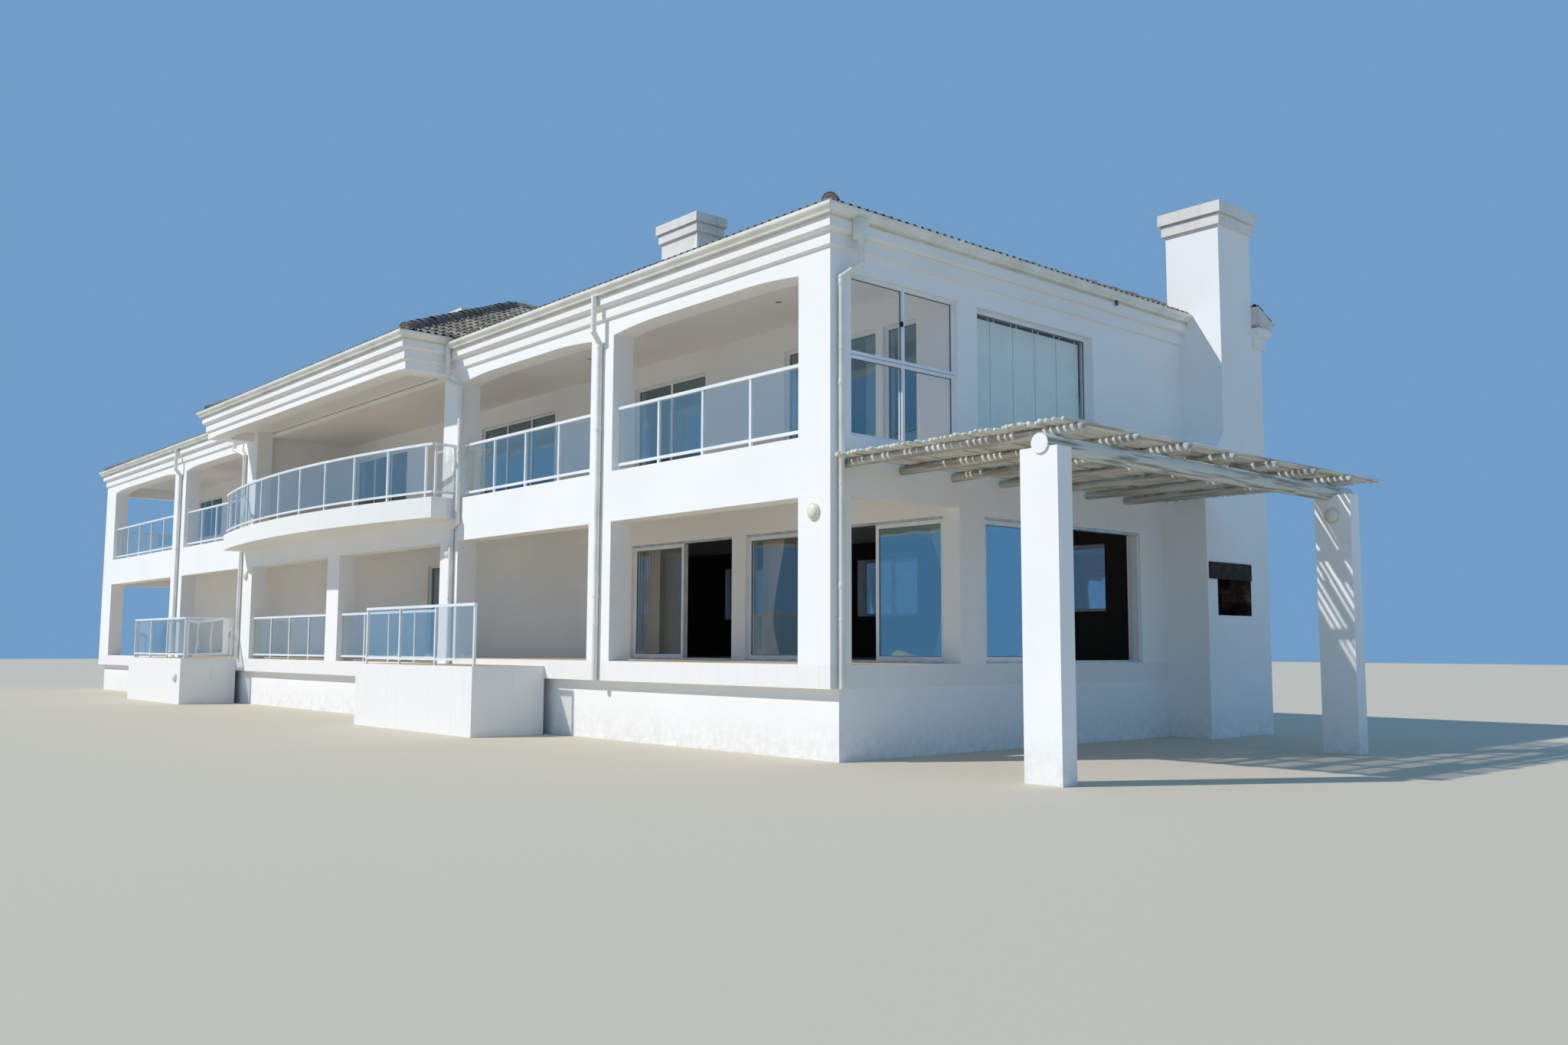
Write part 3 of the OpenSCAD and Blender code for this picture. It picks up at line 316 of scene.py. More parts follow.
# Nodes that aren't listed here are limewashed plaster
finishes = {}
for finish, nodes in (
        (floor_tile, "floor_rooms veranda_floors upper_slab balcony_slab terraces"),
        (moulding_white, "cornice_wings cornice_sides cornice_centre cornice_rear"),
        (fascia, "roof_front roof_ends roof_rear roof_centre_front roof_centre_sides"),
        (gutter_white, "gutters rain_pipes"),
        (frame_white, "upper_balustrades balcony_balustrade ground_balustrades window_frames door_jambs"
                      " fixed_leaves terrace_door_leaf lounge_door_leaf side_door_leaf"),
        (track_alu, "door_tracks solar_panels"),
        (rail_glass, "balustrade_glass"),
        (window_pane, "window_glass"),
        (clear_pane, "terrace_door_glass lounge_door_glass"),
        (door_pane, "side_door_glass"),
        (hood_steel, "fireplace_hood"),
        (log_wood, "pergola_log"),
        (pole_wood, "pergola_poles"),
        (lath_wood, "pergola_laths"),
        (lamp_white, "wall_lights")):
    finishes.update(dict.fromkeys(nodes.split(), finish))
for name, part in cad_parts.items():
    part.data.materials.clear()
    part.data.materials.append(finishes.get(name, wall_white))


# Faces of one node that have a finish of their own
def second_finish(name, finish, low, high):
    """Gives a finish to the faces of a CAD node whose middle lies between two corners in house metres."""
    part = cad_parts[name]
    if finish.name not in [made.name for made in part.data.materials]:
        part.data.materials.append(finish)
    extra = [made.name for made in part.data.materials].index(finish.name)
    for face in part.data.polygons:
        middle = face.center - ROW
        if all(a < m < b for a, m, b in zip(low, middle, high)):
            face.material_index = extra


NEAR, FAR = 0.01, 100.0
LOWEST, HIGHEST = (-FAR, -FAR, -FAR), (FAR, FAR, FAR)
UPPER_FLOOR = extent("upper_slab")[1][2]
FRONT_WALL = extent("upper_front_wall")
REAR_WALL = extent("rear_wall")
END_BEAMS = extent("end_beams")
LOG = extent("pergola_log")
HEARTH = ((0.17, 7.84, 0.74), (0.7, 8.91, FAR))
SIDE_CAP, RIDGE_CAP = 7.25, 7.0     # where the caps of the chimneys begin
SIDE = -0.3         # what lies right of this stands in the right side wall
DOOR_TOP = 2.1
SIDE_WINDOW = (2.8, 5.64)
LOUNGE_LEFT, SHADE_RIGHT = -8.0, -2.5

# The inner faces of the rooms get the dark plaster, which is painted shade of the interior, not a real paint
# colour
room_low = (FRONT_WALL[0][0] - NEAR, FRONT_WALL[1][1] - NEAR, -FAR)
room_high = (FRONT_WALL[1][0] + NEAR, REAR_WALL[0][1] + NEAR, FAR)
for name in ("side_wall_right", "side_wall_left", "rear_wall", "ground_front_wall", "upper_front_wall"):
    second_finish(name, painted_room_shade, room_low, room_high)
second_finish("fireplace", fire_brick, *HEARTH)
second_finish("pergola_log", end_grain, LOWEST, (FAR, LOG[0][1] + NEAR / 2, FAR))
second_finish("pergola_log", end_grain, (-FAR, LOG[1][1] - NEAR, -FAR), HIGHEST)
second_finish("window_glass", screen_pane, (SIDE, END_BEAMS[0][1], UPPER_FLOOR), (FAR, END_BEAMS[1][1], FAR))
second_finish("window_glass", shaded_pane, (SIDE, SIDE_WINDOW[0], UPPER_FLOOR), (FAR, SIDE_WINDOW[1], FAR))
second_finish("window_glass", door_pane, (LOUNGE_LEFT, -FAR, -FAR), (FAR, FRONT_WALL[1][1], DOOR_TOP))
second_finish("window_glass", door_pane, (SIDE, -FAR, -FAR), (FAR, FAR, DOOR_TOP))
second_finish("window_glass", clear_pane, (LOUNGE_LEFT, -FAR, -FAR),
              (SHADE_RIGHT, FRONT_WALL[1][1], DOOR_TOP))
second_finish("window_glass", rear_pane, (-FAR, REAR_WALL[0][1], -FAR), HIGHEST)
second_finish("side_chimney", cap_white, (-FAR, -FAR, SIDE_CAP), HIGHEST)
second_finish("ridge_chimneys", cap_white, (-FAR, -FAR, RIDGE_CAP), HIGHEST)


# Hand tools
def clear():
    if bpy.context.mode != "OBJECT":
        bpy.ops.object.mode_set(mode="OBJECT")
    bpy.ops.object.select_all(action="DESELECT")


def only(piece):
    clear()
    piece.select_set(True)
    bpy.context.view_layer.objects.active = piece


def settle(piece):
    """Puts a piece's place, turn and size into its mesh."""
    only(piece)
    bpy.ops.object.transform_apply(location=True, rotation=True, scale=True)
    return piece


def modify(piece, kind, **settings):
    only(piece)
    added = piece.modifiers.new(kind.lower(), kind)
    for name, value in settings.items():
        setattr(added, name, value)
    bpy.ops.object.modifier_apply(modifier=added.name)
    return piece


def pick(piece, wanted, domain="VERT"):
    """In edit mode, selects the points or faces of a piece that a test on their place accepts."""
    only(piece)
    bpy.ops.object.mode_set(mode="EDIT")
    bpy.ops.mesh.select_mode(type=domain)
    bpy.ops.mesh.select_all(action="DESELECT")
    bpy.ops.object.mode_set(mode="OBJECT")
    for item in (piece.data.vertices if domain == "VERT" else piece.data.polygons):
        item.select = wanted(item.co if domain == "VERT" else item.center)
    bpy.ops.object.mode_set(mode="EDIT")


def done(piece):
    bpy.ops.object.mode_set(mode="OBJECT")
    return piece


def raise_points(piece, wanted, rise):
    pick(piece, wanted)
    bpy.ops.transform.translate(value=(0, 0, rise))
    return done(piece)


def sink(piece, wanted, inset, push):
    """Insets the faces that a test accepts and pushes what is left of them along."""
    pick(piece, wanted, "FACE")
    bpy.ops.mesh.inset(thickness=inset)
    bpy.ops.transform.translate(value=push)
    return done(piece)


def block(low, high, edge=0.0, steps=1):
    """A block between two corners, its edges rounded off."""
    low, high = Vector(low), Vector(high)
    clear()
    bpy.ops.mesh.primitive_cube_add(size=1, location=(low + high) / 2)
    piece = bpy.context.object
    piece.scale = high - low
    settle(piece)
    if edge:
        modify(piece, "BEVEL", width=edge, segments=steps, limit_method="NONE")
    return piece


def rod(sides, radius, length, middle=(0, 0, 0), turn=(0, 0, 0), ends="NGON"):
    """A round bar, upright until it is turned."""
    clear()
    bpy.ops.mesh.primitive_cylinder_add(vertices=sides, radius=radius, depth=length, location=middle,
                                        rotation=[math.radians(a) for a in turn], end_fill_type=ends)
    return settle(bpy.context.object)


def grid(columns, rows, wide, deep, middle=(0, 0, 0)):
    """A level sheet in columns and rows of equal faces."""
    clear()
    bpy.ops.mesh.primitive_grid_add(x_subdivisions=columns, y_subdivisions=rows, size=1, location=middle)
    piece = bpy.context.object
    piece.scale = (wide, deep, 1)
    return settle(piece)


def join(pieces):
    clear()
    for piece in pieces:
        piece.select_set(True)
    bpy.context.view_layer.objects.active = pieces[0]
    bpy.ops.object.join()
    return pieces[0]


def repeat(piece, places):
    """A copy of a piece, with its own mesh, at each of the places, all joined; the model itself goes."""
    copies = []
    for place in places:
        copy = bpy.data.objects.new(piece.name, piece.data.copy())
        copy.data.transform(place)
        bpy.context.scene.collection.objects.link(copy)
        copies.append(copy)
    bpy.data.objects.remove(piece)
    return join(copies)


def fit(piece, name, finish, body="house", smooth=None, stands_for=()):
    """Names a piece, gives it its finish and slot, and fixes it to its body."""
    piece.name = piece.data.name = name
    if finish is not None:
        piece.data.materials.clear()
        piece.data.materials.append(finish)
    if smooth is not None:
        only(piece)
        bpy.ops.object.shade_smooth_by_angle(angle=math.radians(smooth))
    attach(piece, body)
    if stands_for:
        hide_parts(*stands_for)
    return piece


def turned(angle, axis):
    return Matrix.Rotation(math.radians(angle), 4, axis)


def spaced(first, last, gap):
    """The middles of equal steps between two limits, each about as long as the gap."""
    count = max(1, round((last - first) / gap))
    return [first + (last - first) * (i + 0.5) / count for i in range(count)]


def solids_of(name):
    """The low and high corner of every separate solid of a CAD node, in the row frame."""
    copy = bpy.data.objects.new(name + "_copy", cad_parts[name].data.copy())
    bpy.context.scene.collection.objects.link(copy)
    pick(copy, lambda p: True)
    bpy.ops.mesh.remove_doubles(threshold=0.0001)
    bpy.ops.mesh.separate(type="LOOSE")
    done(copy)
    boxes = []
    for part in list(bpy.context.selected_objects):
        axes = list(zip(*(point.co for point in part.data.vertices)))
        boxes.append((Vector([min(a) for a in axes]), Vector([max(a) for a in axes])))
        bpy.data.objects.remove(part)
    return boxes


# Roof
SLOPE = math.tan(PITCH)
WINGS = extent("roof_front")
CENTRE = extent("roof_centre_front")
LONG, DEEP = -extent("ground_piers")[0][0], REAR_WALL[1][1]
REAR_T, NIB = round(DEEP - REAR_WALL[0][1], 4), REAR_WALL[1][0]
EAVE = WINGS[1][0]
RIDGE_Y = DEEP / 2
EAVE_Z = round(WINGS[1][2] - SLOPE * (RIDGE_Y + EAVE), 3)
RISE = round(CENTRE[0][2] - WINGS[0][2], 4)
CENTRE_L, CENTRE_R, CENTRE_OUT = CENTRE[0][0], CENTRE[1][0], CENTRE[0][1]
TOP_Y = (CENTRE_OUT + DEEP + EAVE) / 2 - RISE / SLOPE / 2
TOP_Z = EAVE_Z + SLOPE * (RIDGE_Y + EAVE)
APEX_Z = EAVE_Z + RISE + SLOPE * (TOP_Y - CENTRE_OUT)
VALLEY_Y = -EAVE + RISE / SLOPE
VALLEY_Z = EAVE_Z + RISE
OVER = 0.045        # how far the tiles reach over the gutter
CUT = 0.07          # how far they stop short of a valley
RIDGE_R, RIDGE_L = (-RIDGE_Y, RIDGE_Y), (RIDGE_Y - LONG, RIDGE_Y)
JOIN_R, JOIN_L = (CENTRE_R - RIDGE_Y + VALLEY_Y, RIDGE_Y), (CENTRE_L + RIDGE_Y - VALLEY_Y, RIDGE_Y)
APEX_R, APEX_L = (CENTRE_R - TOP_Y + CENTRE_OUT, TOP_Y), (CENTRE_L + TOP_Y - CENTRE_OUT, TOP_Y)
# Shafts of the chimneys in plan: left, right, front, rear
SIDE_STACK = (-0.23, 1.8, 8.18, 9.2)
RIDGE_STACKS = [(-9.7, -8.5, 4.37, 4.98), (-19.15, -18.45, 4.37, 4.98)]
TILE_W, TILE_T = 0.3, 0.028
TILE_COLUMNS = 12
GAUGE = 0.345       # how far each course is set above the one before
ROLL = 0.034        # height of a tile's rolls
CREST, SHOULDERS = (3, 9), (2, 4, 8, 10)    # lines of points on top of the rolls and beside it


def roof_tile():
    """One double-roman tile lying level: two rolls between flat pans, and a thick front edge."""
    piece = grid(TILE_COLUMNS, 1, TILE_W, GAUGE, (TILE_W / 2, GAUGE / 2, 0.004))
    step = TILE_W / TILE_COLUMNS
    raise_points(piece, lambda p: round(p.x / step) in SHOULDERS, ROLL * 0.7)
    raise_points(piece, lambda p: round(p.x / step) in CREST, ROLL)
    pick(piece, lambda p: p.y < 0.01)
    bpy.ops.transform.translate(value=(0, 0, TILE_T))
    bpy.ops.mesh.extrude_region_move(TRANSFORM_OT_translate={"value": (0, 0.004, -TILE_T)})
    return done(piece)


def inside(outline, x, y):
    hit = False
    for (ax, ay), (bx, by) in zip(outline, outline[1:] + outline[:1]):
        if (ay > y) != (by > y) and x < (bx - ax) * (y - ay) / (by - ay) + ax:
            hit = not hit
    return hit


def off_roof(outline, x, y):
    """Whether a point in plan is outside a slope or inside a chimney."""
    in_stack = any(x0 < x < x1 and y0 < y < y1 for x0, x1, y0, y1 in [SIDE_STACK] + RIDGE_STACKS)
    return in_stack or not inside(outline, x, y)


def tiled_slope(name, outline, eave, turn, lift=0.0, seed=1):
    """Courses of tiles over a slope, trimmed to its outline in plan, from an eave point on the drip line."""
    c, s = math.cos(math.radians(turn)), math.sin(math.radians(turn))
    across = [(x - eave[0]) * c + (y - eave[1]) * s for x, y in outline]
    upward = [(y - eave[1]) * c - (x - eave[0]) * s for x, y in outline]
    columns = math.ceil((max(across) - min(across)) / TILE_W)
    rows = math.ceil(max(upward) / math.cos(PITCH) / GAUGE)
    field = roof_tile()
    for count, step in ((columns, (TILE_W, 0, 0)), (rows, (0, GAUGE, 0))):
        modify(field, "ARRAY", count=count, use_relative_offset=False, use_constant_offset=True,
               constant_offset_displace=step)
    tone = field.data.attributes.new("tone", "FLOAT", "FACE")
    shades = [random.Random(seed * 7919 + i).random() for i in range(columns * rows)]
    for face in field.data.polygons:
        row = min(rows - 1, int((face.center.y + 0.001 * face.normal.y) / GAUGE + 0.0001))
        column = min(columns - 1, int(face.center.x / TILE_W))
        tone.data[face.index].value = shades[column * rows + row]
    field.data.transform(Matrix.Translation(at(*eave, EAVE_Z + lift - OVER * SLOPE)) @ turned(turn, "Z")
                         @ Matrix.Rotation(PITCH, 4, "X") @ Matrix.Translation((min(across), 0, 0)))
    for (ax, ay), (bx, by) in zip(outline, outline[1:] + outline[:1]):
        pick(field, lambda p: True)
        bpy.ops.mesh.bisect(plane_co=at(ax, ay), plane_no=(by - ay, ax - bx, 0), threshold=0.0001)
        done(field)
    pick(field, lambda p: off_roof(outline, p.x - ROW.x, p.y - ROW.y), "FACE")
    bpy.ops.mesh.delete(type="FACE")
    done(field)
    return fit(field, name, tile_grey, smooth=50)


# Drip lines of the wings, and the corners and drip line of the raised centre
R, L, F, B = EAVE + OVER, -LONG - EAVE - OVER, -EAVE - OVER, DEEP + EAVE + OVER
centre_r, centre_l, centre_f = CENTRE_R + OVER, CENTRE_L - OVER, CENTRE_OUT - OVER
tiled_slope("tiles_front_right", [(R, F), RIDGE_R, (JOIN_R[0] + CUT, RIDGE_Y), (CENTRE_R + CUT, VALLEY_Y),
                                  (CENTRE_R + NEAR, F)], (0, F), 0, seed=1)
tiled_slope("tiles_front_left", [(L, F), (CENTRE_L - NEAR, F), (CENTRE_L - CUT, VALLEY_Y),
                                 (JOIN_L[0] - CUT, RIDGE_Y), RIDGE_L], (0, F), 0, seed=2)
tiled_slope("tiles_rear", [(NIB + EAVE, B), (L, B), RIDGE_L, JOIN_L, APEX_L, APEX_R, JOIN_R, RIDGE_R,
                           (-REAR_T, DEEP - REAR_T), (NIB + EAVE, DEEP - REAR_T)], (0, B), 180, seed=3)
tiled_slope("tiles_right_end", [(R, F), (R, DEEP - REAR_T), (-REAR_T, DEEP - REAR_T), RIDGE_R],
            (R, 0), 90, seed=4)
tiled_slope("tiles_left_end", [(L, F), RIDGE_L, (L, B)], (L, 0), -90, seed=5)
tiled_slope("tiles_centre_front", [(centre_r, centre_f), APEX_R, APEX_L, (centre_l, centre_f)],
            (0, centre_f), 0, RISE, 6)
tiled_slope("tiles_centre_right", [(centre_r, centre_f), (centre_r, VALLEY_Y - OVER - CUT),
                                   (JOIN_R[0], RIDGE_Y - CUT), APEX_R], (centre_r, 0), 90, RISE, 7)
tiled_slope("tiles_centre_left", [(centre_l, centre_f), APEX_L, (JOIN_L[0], RIDGE_Y - CUT),
                                  (centre_l, VALLEY_Y - OVER - CUT)], (centre_l, 0), -90, RISE, 8)

# Ridge and hip tiles
CAP_R, CAP_LONG, CAP_T = 0.105, 0.44, 0.014
CAP_GAUGE = 0.37    # how far each cap is set past the one before
CAP_START = 0.2     # how far the middle of the first cap lies up its line
HIP_FOOT = 0.14     # how far up a hip its lowest cap stands back from the eave


def ridge_tile():
    """A half-round ridge tile that tapers towards the back, lying along X."""
    piece = rod(20, CAP_R, CAP_LONG, turn=(0, 90, 0), ends="NOTHING")
    pick(piece, lambda p: True)
    bpy.ops.mesh.bisect(plane_co=(0, 0, 0), plane_no=(0, 0, 1), clear_inner=True)
    done(piece)
    pick(piece, lambda p: p.x > 0.1)
    bpy.ops.transform.resize(value=(1, 0.84, 0.84), center_override=(0, 0, 0))
    done(piece)
    modify(piece, "SOLIDIFY", thickness=CAP_T, offset=-1)
    tone = piece.data.attributes.new("tone", "FLOAT", "FACE")
    for face in piece.data.polygons:
        tone.data[face.index].value = 0.5
    return piece


def run_of_caps(start, end, foot):
    """Places of ridge tiles along a hip or ridge, from the low end to the high one."""
    a, b = at(*start), at(*end)
    way = b - a
    turn = way.to_track_quat("X", "Z").to_matrix().to_4x4()
    dice = random.Random(int(abs(a.x * 100 + a.y * 10)))
    places = []
    for i in range(int((way.length - foot) / CAP_GAUGE)):
        spot = a + way.normalized() * (foot + CAP_START + CAP_GAUGE * i)
        spot += Vector((0, 0, dice.uniform(0.02, 0.032)))
        askew = turned(dice.uniform(-1.5, 1.5), "Z")
        places.append(Matrix.Translation(spot) @ turn @ askew @ turned(2.2, "Y"))
    return places


wing_r, wing_l = (*RIDGE_R, TOP_Z), (*RIDGE_L, TOP_Z)
join_r, join_l = (*JOIN_R, TOP_Z), (*JOIN_L, TOP_Z)
apex_r, apex_l = (*APEX_R, APEX_Z), (*APEX_L, APEX_Z)
# Each hip or ridge: its low end, its high end, and where its first cap starts
hips = [((EAVE, -EAVE, EAVE_Z), wing_r, HIP_FOOT), ((-LONG - EAVE, -EAVE, EAVE_Z), wing_l, HIP_FOOT),
        ((-LONG - EAVE, DEEP + EAVE, EAVE_Z), wing_l, HIP_FOOT),
        ((-REAR_T, DEEP - REAR_T, EAVE_Z + SLOPE * (EAVE + REAR_T)), wing_r, 0.0),
        ((CENTRE_R, CENTRE_OUT, VALLEY_Z), apex_r, HIP_FOOT),
        ((CENTRE_L, CENTRE_OUT, VALLEY_Z), apex_l, HIP_FOOT),
        (join_r, wing_r, 0.0), (join_l, wing_l, 0.0), (join_r, apex_r, 0.0), (join_l, apex_l, 0.0),
        (apex_l, apex_r, 0.0)]
caps = repeat(ridge_tile(), [place for hip in hips for place in run_of_caps(*hip)])
fit(caps, "ridge_tiles", ridge_grey, smooth=40)


# Roof trimmings
def along(start, end):
    """The matrix that lays a piece modelled along X on a line between two points of the house."""
    a, b = at(*start), at(*end)
    return Matrix.Translation(a) @ (b - a).to_track_quat("X", "Z").to_matrix().to_4x4()


def bedding_strip(start, end):
    """Mortar that a run of ridge tiles is bedded in: a long strip under them, its edges rounded."""
    length = (at(*end) - at(*start)).length
    piece = block((-0.012, -0.09, -0.06), (length, 0.09, 0.05), 0.03, 2)
    piece.data.transform(along(start, end))
    return piece


PLUG_R, PLUG_Z = 0.09, 0.028


def hip_plug():
    """Mortar pressed into the open end of the lowest hip tile: a disc, flatter below, its edge soft."""
    piece = rod(28, PLUG_R, 0.07, (HIP_FOOT + 0.022, 0, PLUG_Z), (0, 90, 0))
    pick(piece, lambda p: p.z < PLUG_Z + 0.002)
    bpy.ops.transform.resize(value=(1, 1, 0.7), center_override=(0, 0, PLUG_Z))
    done(piece)
    return modify(piece, "BEVEL", width=0.007, segments=2, angle_limit=math.radians(50))


strips = [bedding_strip(start, end) for start, end, foot in hips]
plugs = repeat(hip_plug(), [along(start, end) for start, end, foot in hips if foot])
fit(join(strips + [plugs]), "ridge_bedding", mortar)

TROUGH_W, TROUGH_FOLD, TROUGH_T = 0.36, 0.031, 0.003


def valley_trough(start, end):
    """A folded metal gutter that lies in a valley between two slopes, with turned-up edges."""
    length = (at(*end) - at(*start)).length
    piece = grid(1, 4, length, TROUGH_W, (length / 2, 0, 0.006))
    for reach in (0.08, 0.17):
        raise_points(piece, lambda p: abs(p.y) > reach, TROUGH_FOLD)
    modify(piece, "SOLIDIFY", thickness=TROUGH_T, offset=1)
    piece.data.transform(along(start, end))
    return piece


troughs = [valley_trough((CENTRE_R, VALLEY_Y, VALLEY_Z), join_r),
           valley_trough((CENTRE_L, VALLEY_Y, VALLEY_Z), join_l)]
fit(join(troughs), "valley_troughs", valley_zinc)

LEAD_T, LEAD_DOWN, LEAD_UP = 0.012, 0.1, 0.14


def roof_height(x, y):
    """Height of the bare roof over a point in plan."""
    wing = min(y + EAVE, EAVE - x, DEEP + EAVE - y, x + LONG + EAVE)
    centre = min(y - CENTRE_OUT, CENTRE_R - x, x - CENTRE_L, (DEEP + EAVE - y) - RISE / SLOPE)
    return EAVE_Z + SLOPE * max(wing, centre + RISE / SLOPE)


def flashing(x0, x1, y0, y1):
    """Lead dressed up round a chimney where it leaves the tiles, its top edge let into the plaster."""
    middle = ((x0 + x1) / 2, (y0 + y1) / 2)
    low = roof_height(x0, y0) - LEAD_DOWN
    high = max(roof_height(x0, middle[1]), roof_height(x1, middle[1])) + LEAD_UP
    piece = block((x0 - LEAD_T, y0 - LEAD_T, low), (x1 + LEAD_T, y1 + LEAD_T, high), 0.006, 2)
    pick(piece, lambda p: p.z > high - 0.01)
    bpy.ops.transform.resize(value=(0.992, 0.984, 1), center_override=(*middle, high))
    done(piece)
    piece.data.transform(Matrix.Translation(ROW))
    return piece


fit(join([flashing(*stack) for stack in RIDGE_STACKS]), "chimney_flashings", valley_zinc)

PANEL_PITCH, PANEL_UP = 1.2, 0.78   # from one panel to the next, and up the slope to their feet
# Each row of panels: its right edge, its drip line, and how many there are
PANEL_ROWS = [(-3.0, -EAVE, EAVE_Z, 5), (-13.5, CENTRE_OUT, VALLEY_Z, 2)]


def solar_cells():
    """The glazed face of a panel: a thin sheet inside its metal frame."""
    return block((-1.165, 0.035, 0.088), (-0.055, 1.615, 0.094), 0.002)


cells = [Matrix.Translation(at(right - i * PANEL_PITCH, low_y, low_z)) @ Matrix.Rotation(PITCH, 4, "X")
         @ Matrix.Translation((0, PANEL_UP, 0))
         for right, low_y, low_z, count in PANEL_ROWS for i in range(count)]
fit(repeat(solar_cells(), cells), "solar_cells", silicon)

# Pergola
POLE_LONG, POLE_R = 3.6, 0.06
LATHS = extent("pergola_laths")
STICK_FOOT = LATHS[0][2]
STICK_LONG, STICK_R, STICK_STEP = 2.52, 0.0245, 2.5
LATH_R, LATH_PITCH, LATH_COUNT = 0.028, 0.09, 38
FIRST_LATH = LATHS[0][0] + LATH_R
FIRST_END = 0.03    # where the first stick of a row starts


def crooked(length, radius, sway, rings, seed, sides):
    """A peeled pole lying along Y from the origin: uneven in thickness, a little bent, its ends rounded."""
    piece = rod(sides, radius, length, (0, length / 2, 0), (90, 0, 0))
    for end, way in ((0.0, -1), (length, 1)):
        for narrower, further in ((0.3, 0.3), (0.35, 0.12)):
            sink(piece, lambda p: (p.y - end) * way > -0.001 and p.x ** 2 + p.z ** 2 < (0.5 * radius) ** 2,
                 narrower * radius, (0, way * further * radius, 0))
    dice = random.Random(seed)
    stations = [length * (i + 1) / (rings + 1) for i in range(rings)]
    for y in stations:
        pick(piece, lambda p: True)
        bpy.ops.mesh.bisect(plane_co=(0, y, 0), plane_no=(0, 1, 0), threshold=0.0001)
        done(piece)
    for y in [0.0] + stations + [length]:
        pick(piece, lambda p: abs(p.y - y) < 0.002 or (y == 0 and p.y < 0) or p.y > length and y == length)
        swell = dice.uniform(0.88, 1.1)
        bpy.ops.transform.resize(value=(swell, 1, swell), center_override=(0, y, 0))
        bpy.ops.transform.translate(value=(dice.uniform(-sway, sway), 0, dice.uniform(-sway, sway)))
        done(piece)
    return piece


poles = []
for low, high in sorted(solids_of("pergola_poles"), key=lambda corners: corners[0].y):
    pole = crooked(POLE_LONG, POLE_R, 0.005, 5, 40 + len(poles), 16)
    pole.data.transform(Matrix.Translation((low.x, (low.y + high.y) / 2, low.z + POLE_R)) @ turned(-90, "Z"))
    poles.append(pole)
fit(join(poles), "pergola_pole_row", pole_wood, smooth=50, stands_for=("pergola_poles",))

sticks = [(crooked(STICK_LONG, STICK_R, 0.0035, 4, 70 + i, 9), []) for i in range(5)]
dice = random.Random(11)


def lay_stick(x, start, girth, raised):
    """Puts a stick down on the poles, turned about its own length so that no two look alike."""
    model, places = sticks[dice.randrange(5)]
    places.append(Matrix.Translation(at(x, start, STICK_FOOT + STICK_R * girth + raised))
                  @ turned(dice.uniform(-0.12, 0.12), "Z") @ turned(dice.uniform(0, 360), "Y")
                  @ Matrix.Diagonal((girth, 1.0, girth, 1.0)))


# One row of sticks for each lath and one more by the wall, with thinner ones pushed in between
for line in range(-1, LATH_COUNT):
    for third in range(3):
        x = FIRST_LATH + LATH_PITCH * line + dice.uniform(-0.006, 0.006)
        start = FIRST_END + STICK_STEP * third
        lay_stick(x, start + dice.uniform(-0.05, 0.045), dice.uniform(0.9, 1.14), dice.uniform(0, 0.005))
        if dice.random() < 0.42 and line < LATH_COUNT - 1:
            lay_stick(x + LATH_PITCH / 2, start + dice.uniform(-0.06, 0.06), dice.uniform(0.7, 0.9),
                      dice.uniform(0.002, 0.02))
fit(join([repeat(model, places) for model, places in sticks]), "pergola_sticks", lath_wood,
    smooth=50, stands_for=("pergola_laths",))

# Lamps
LAMP_R, LAMP_BASE, DOME_R, DOME_FLAT = 0.11, 0.024, 0.094, 0.52


def lamp_base():
    """A round moulded base with a stepped rim and a sunk seat for its glass, facing -Y from the wall."""
    piece = rod(40, LAMP_R, LAMP_BASE, (0, -LAMP_BASE / 2, 0), (90, 0, 0))
    for inset, push in ((0.004, -0.006), (0.009, 0.0), (0.003, 0.006)):
        sink(piece, lambda p: p.y < 0.0005 - LAMP_BASE and p.x ** 2 + p.z ** 2 < 0.001, inset, (0, push, 0))
    return piece


def lamp_dome():
    """The opal glass: a shallow dome that stands 50 mm out of its seat."""
    clear()
    bpy.ops.mesh.primitive_uv_sphere_add(segments=40, ring_count=20, radius=DOME_R,
                                         rotation=(math.radians(90), 0, 0))
    piece = bpy.context.object
    piece.scale = (1, 1, DOME_FLAT)
    settle(piece)
    pick(piece, lambda p: p.y > 0.001)
    bpy.ops.mesh.delete(type="VERT")
    done(piece)
    piece.data.transform(Matrix.Translation((0, -LAMP_BASE, 0)))
    return piece


# Each lamp sits in the middle of its CAD drum, against the wall behind it
spots = []
for low, high in solids_of("wall_lights"):
    middle = (low + high) / 2 - ROW
    wall = (high - ROW).y
    spots.append(Matrix.Translation(at(*[round(v, 3) for v in (middle.x, wall, middle.z)])))
fit(repeat(lamp_base(), spots), "lamp_bases", lamp_white, smooth=35,
    stands_for=("wall_lights",))
fit(repeat(lamp_dome(), spots), "lamp_glasses", lamp_opal, smooth=60)

CEILING = extent("ceiling")[0][2]
# Downlights in the wings and, higher, in the raised centre
DOWNLIGHTS = [(x, 1.37, CEILING) for x in (-2.56, -7.7, -23.6, -30.1)]
DOWNLIGHTS += [(x, y, CEILING + RISE) for x, y in ((-15.33, 0.9), (-18.35, 0.83), (-12.4, 0.9))]


def downlight():
    """A recessed ceiling light: a white ring with a dark reflector sunk in it."""
    piece = rod(32, 0.058, 0.008, (0, 0, -0.004))
    modify(piece, "BEVEL", width=0.002, segments=2)
    piece.data.materials.append(lamp_white)
    piece.data.materials.append(lamp_dark)
    pick(piece, lambda p: p.z < -0.007 and p.x ** 2 + p.y ** 2 < 0.001, "FACE")
    bpy.ops.mesh.inset(thickness=0.01)
    bpy.ops.transform.translate(value=(0, 0, 0.006))
    piece.active_material_index = 1
    bpy.ops.object.material_slot_assign()
    return done(piece)


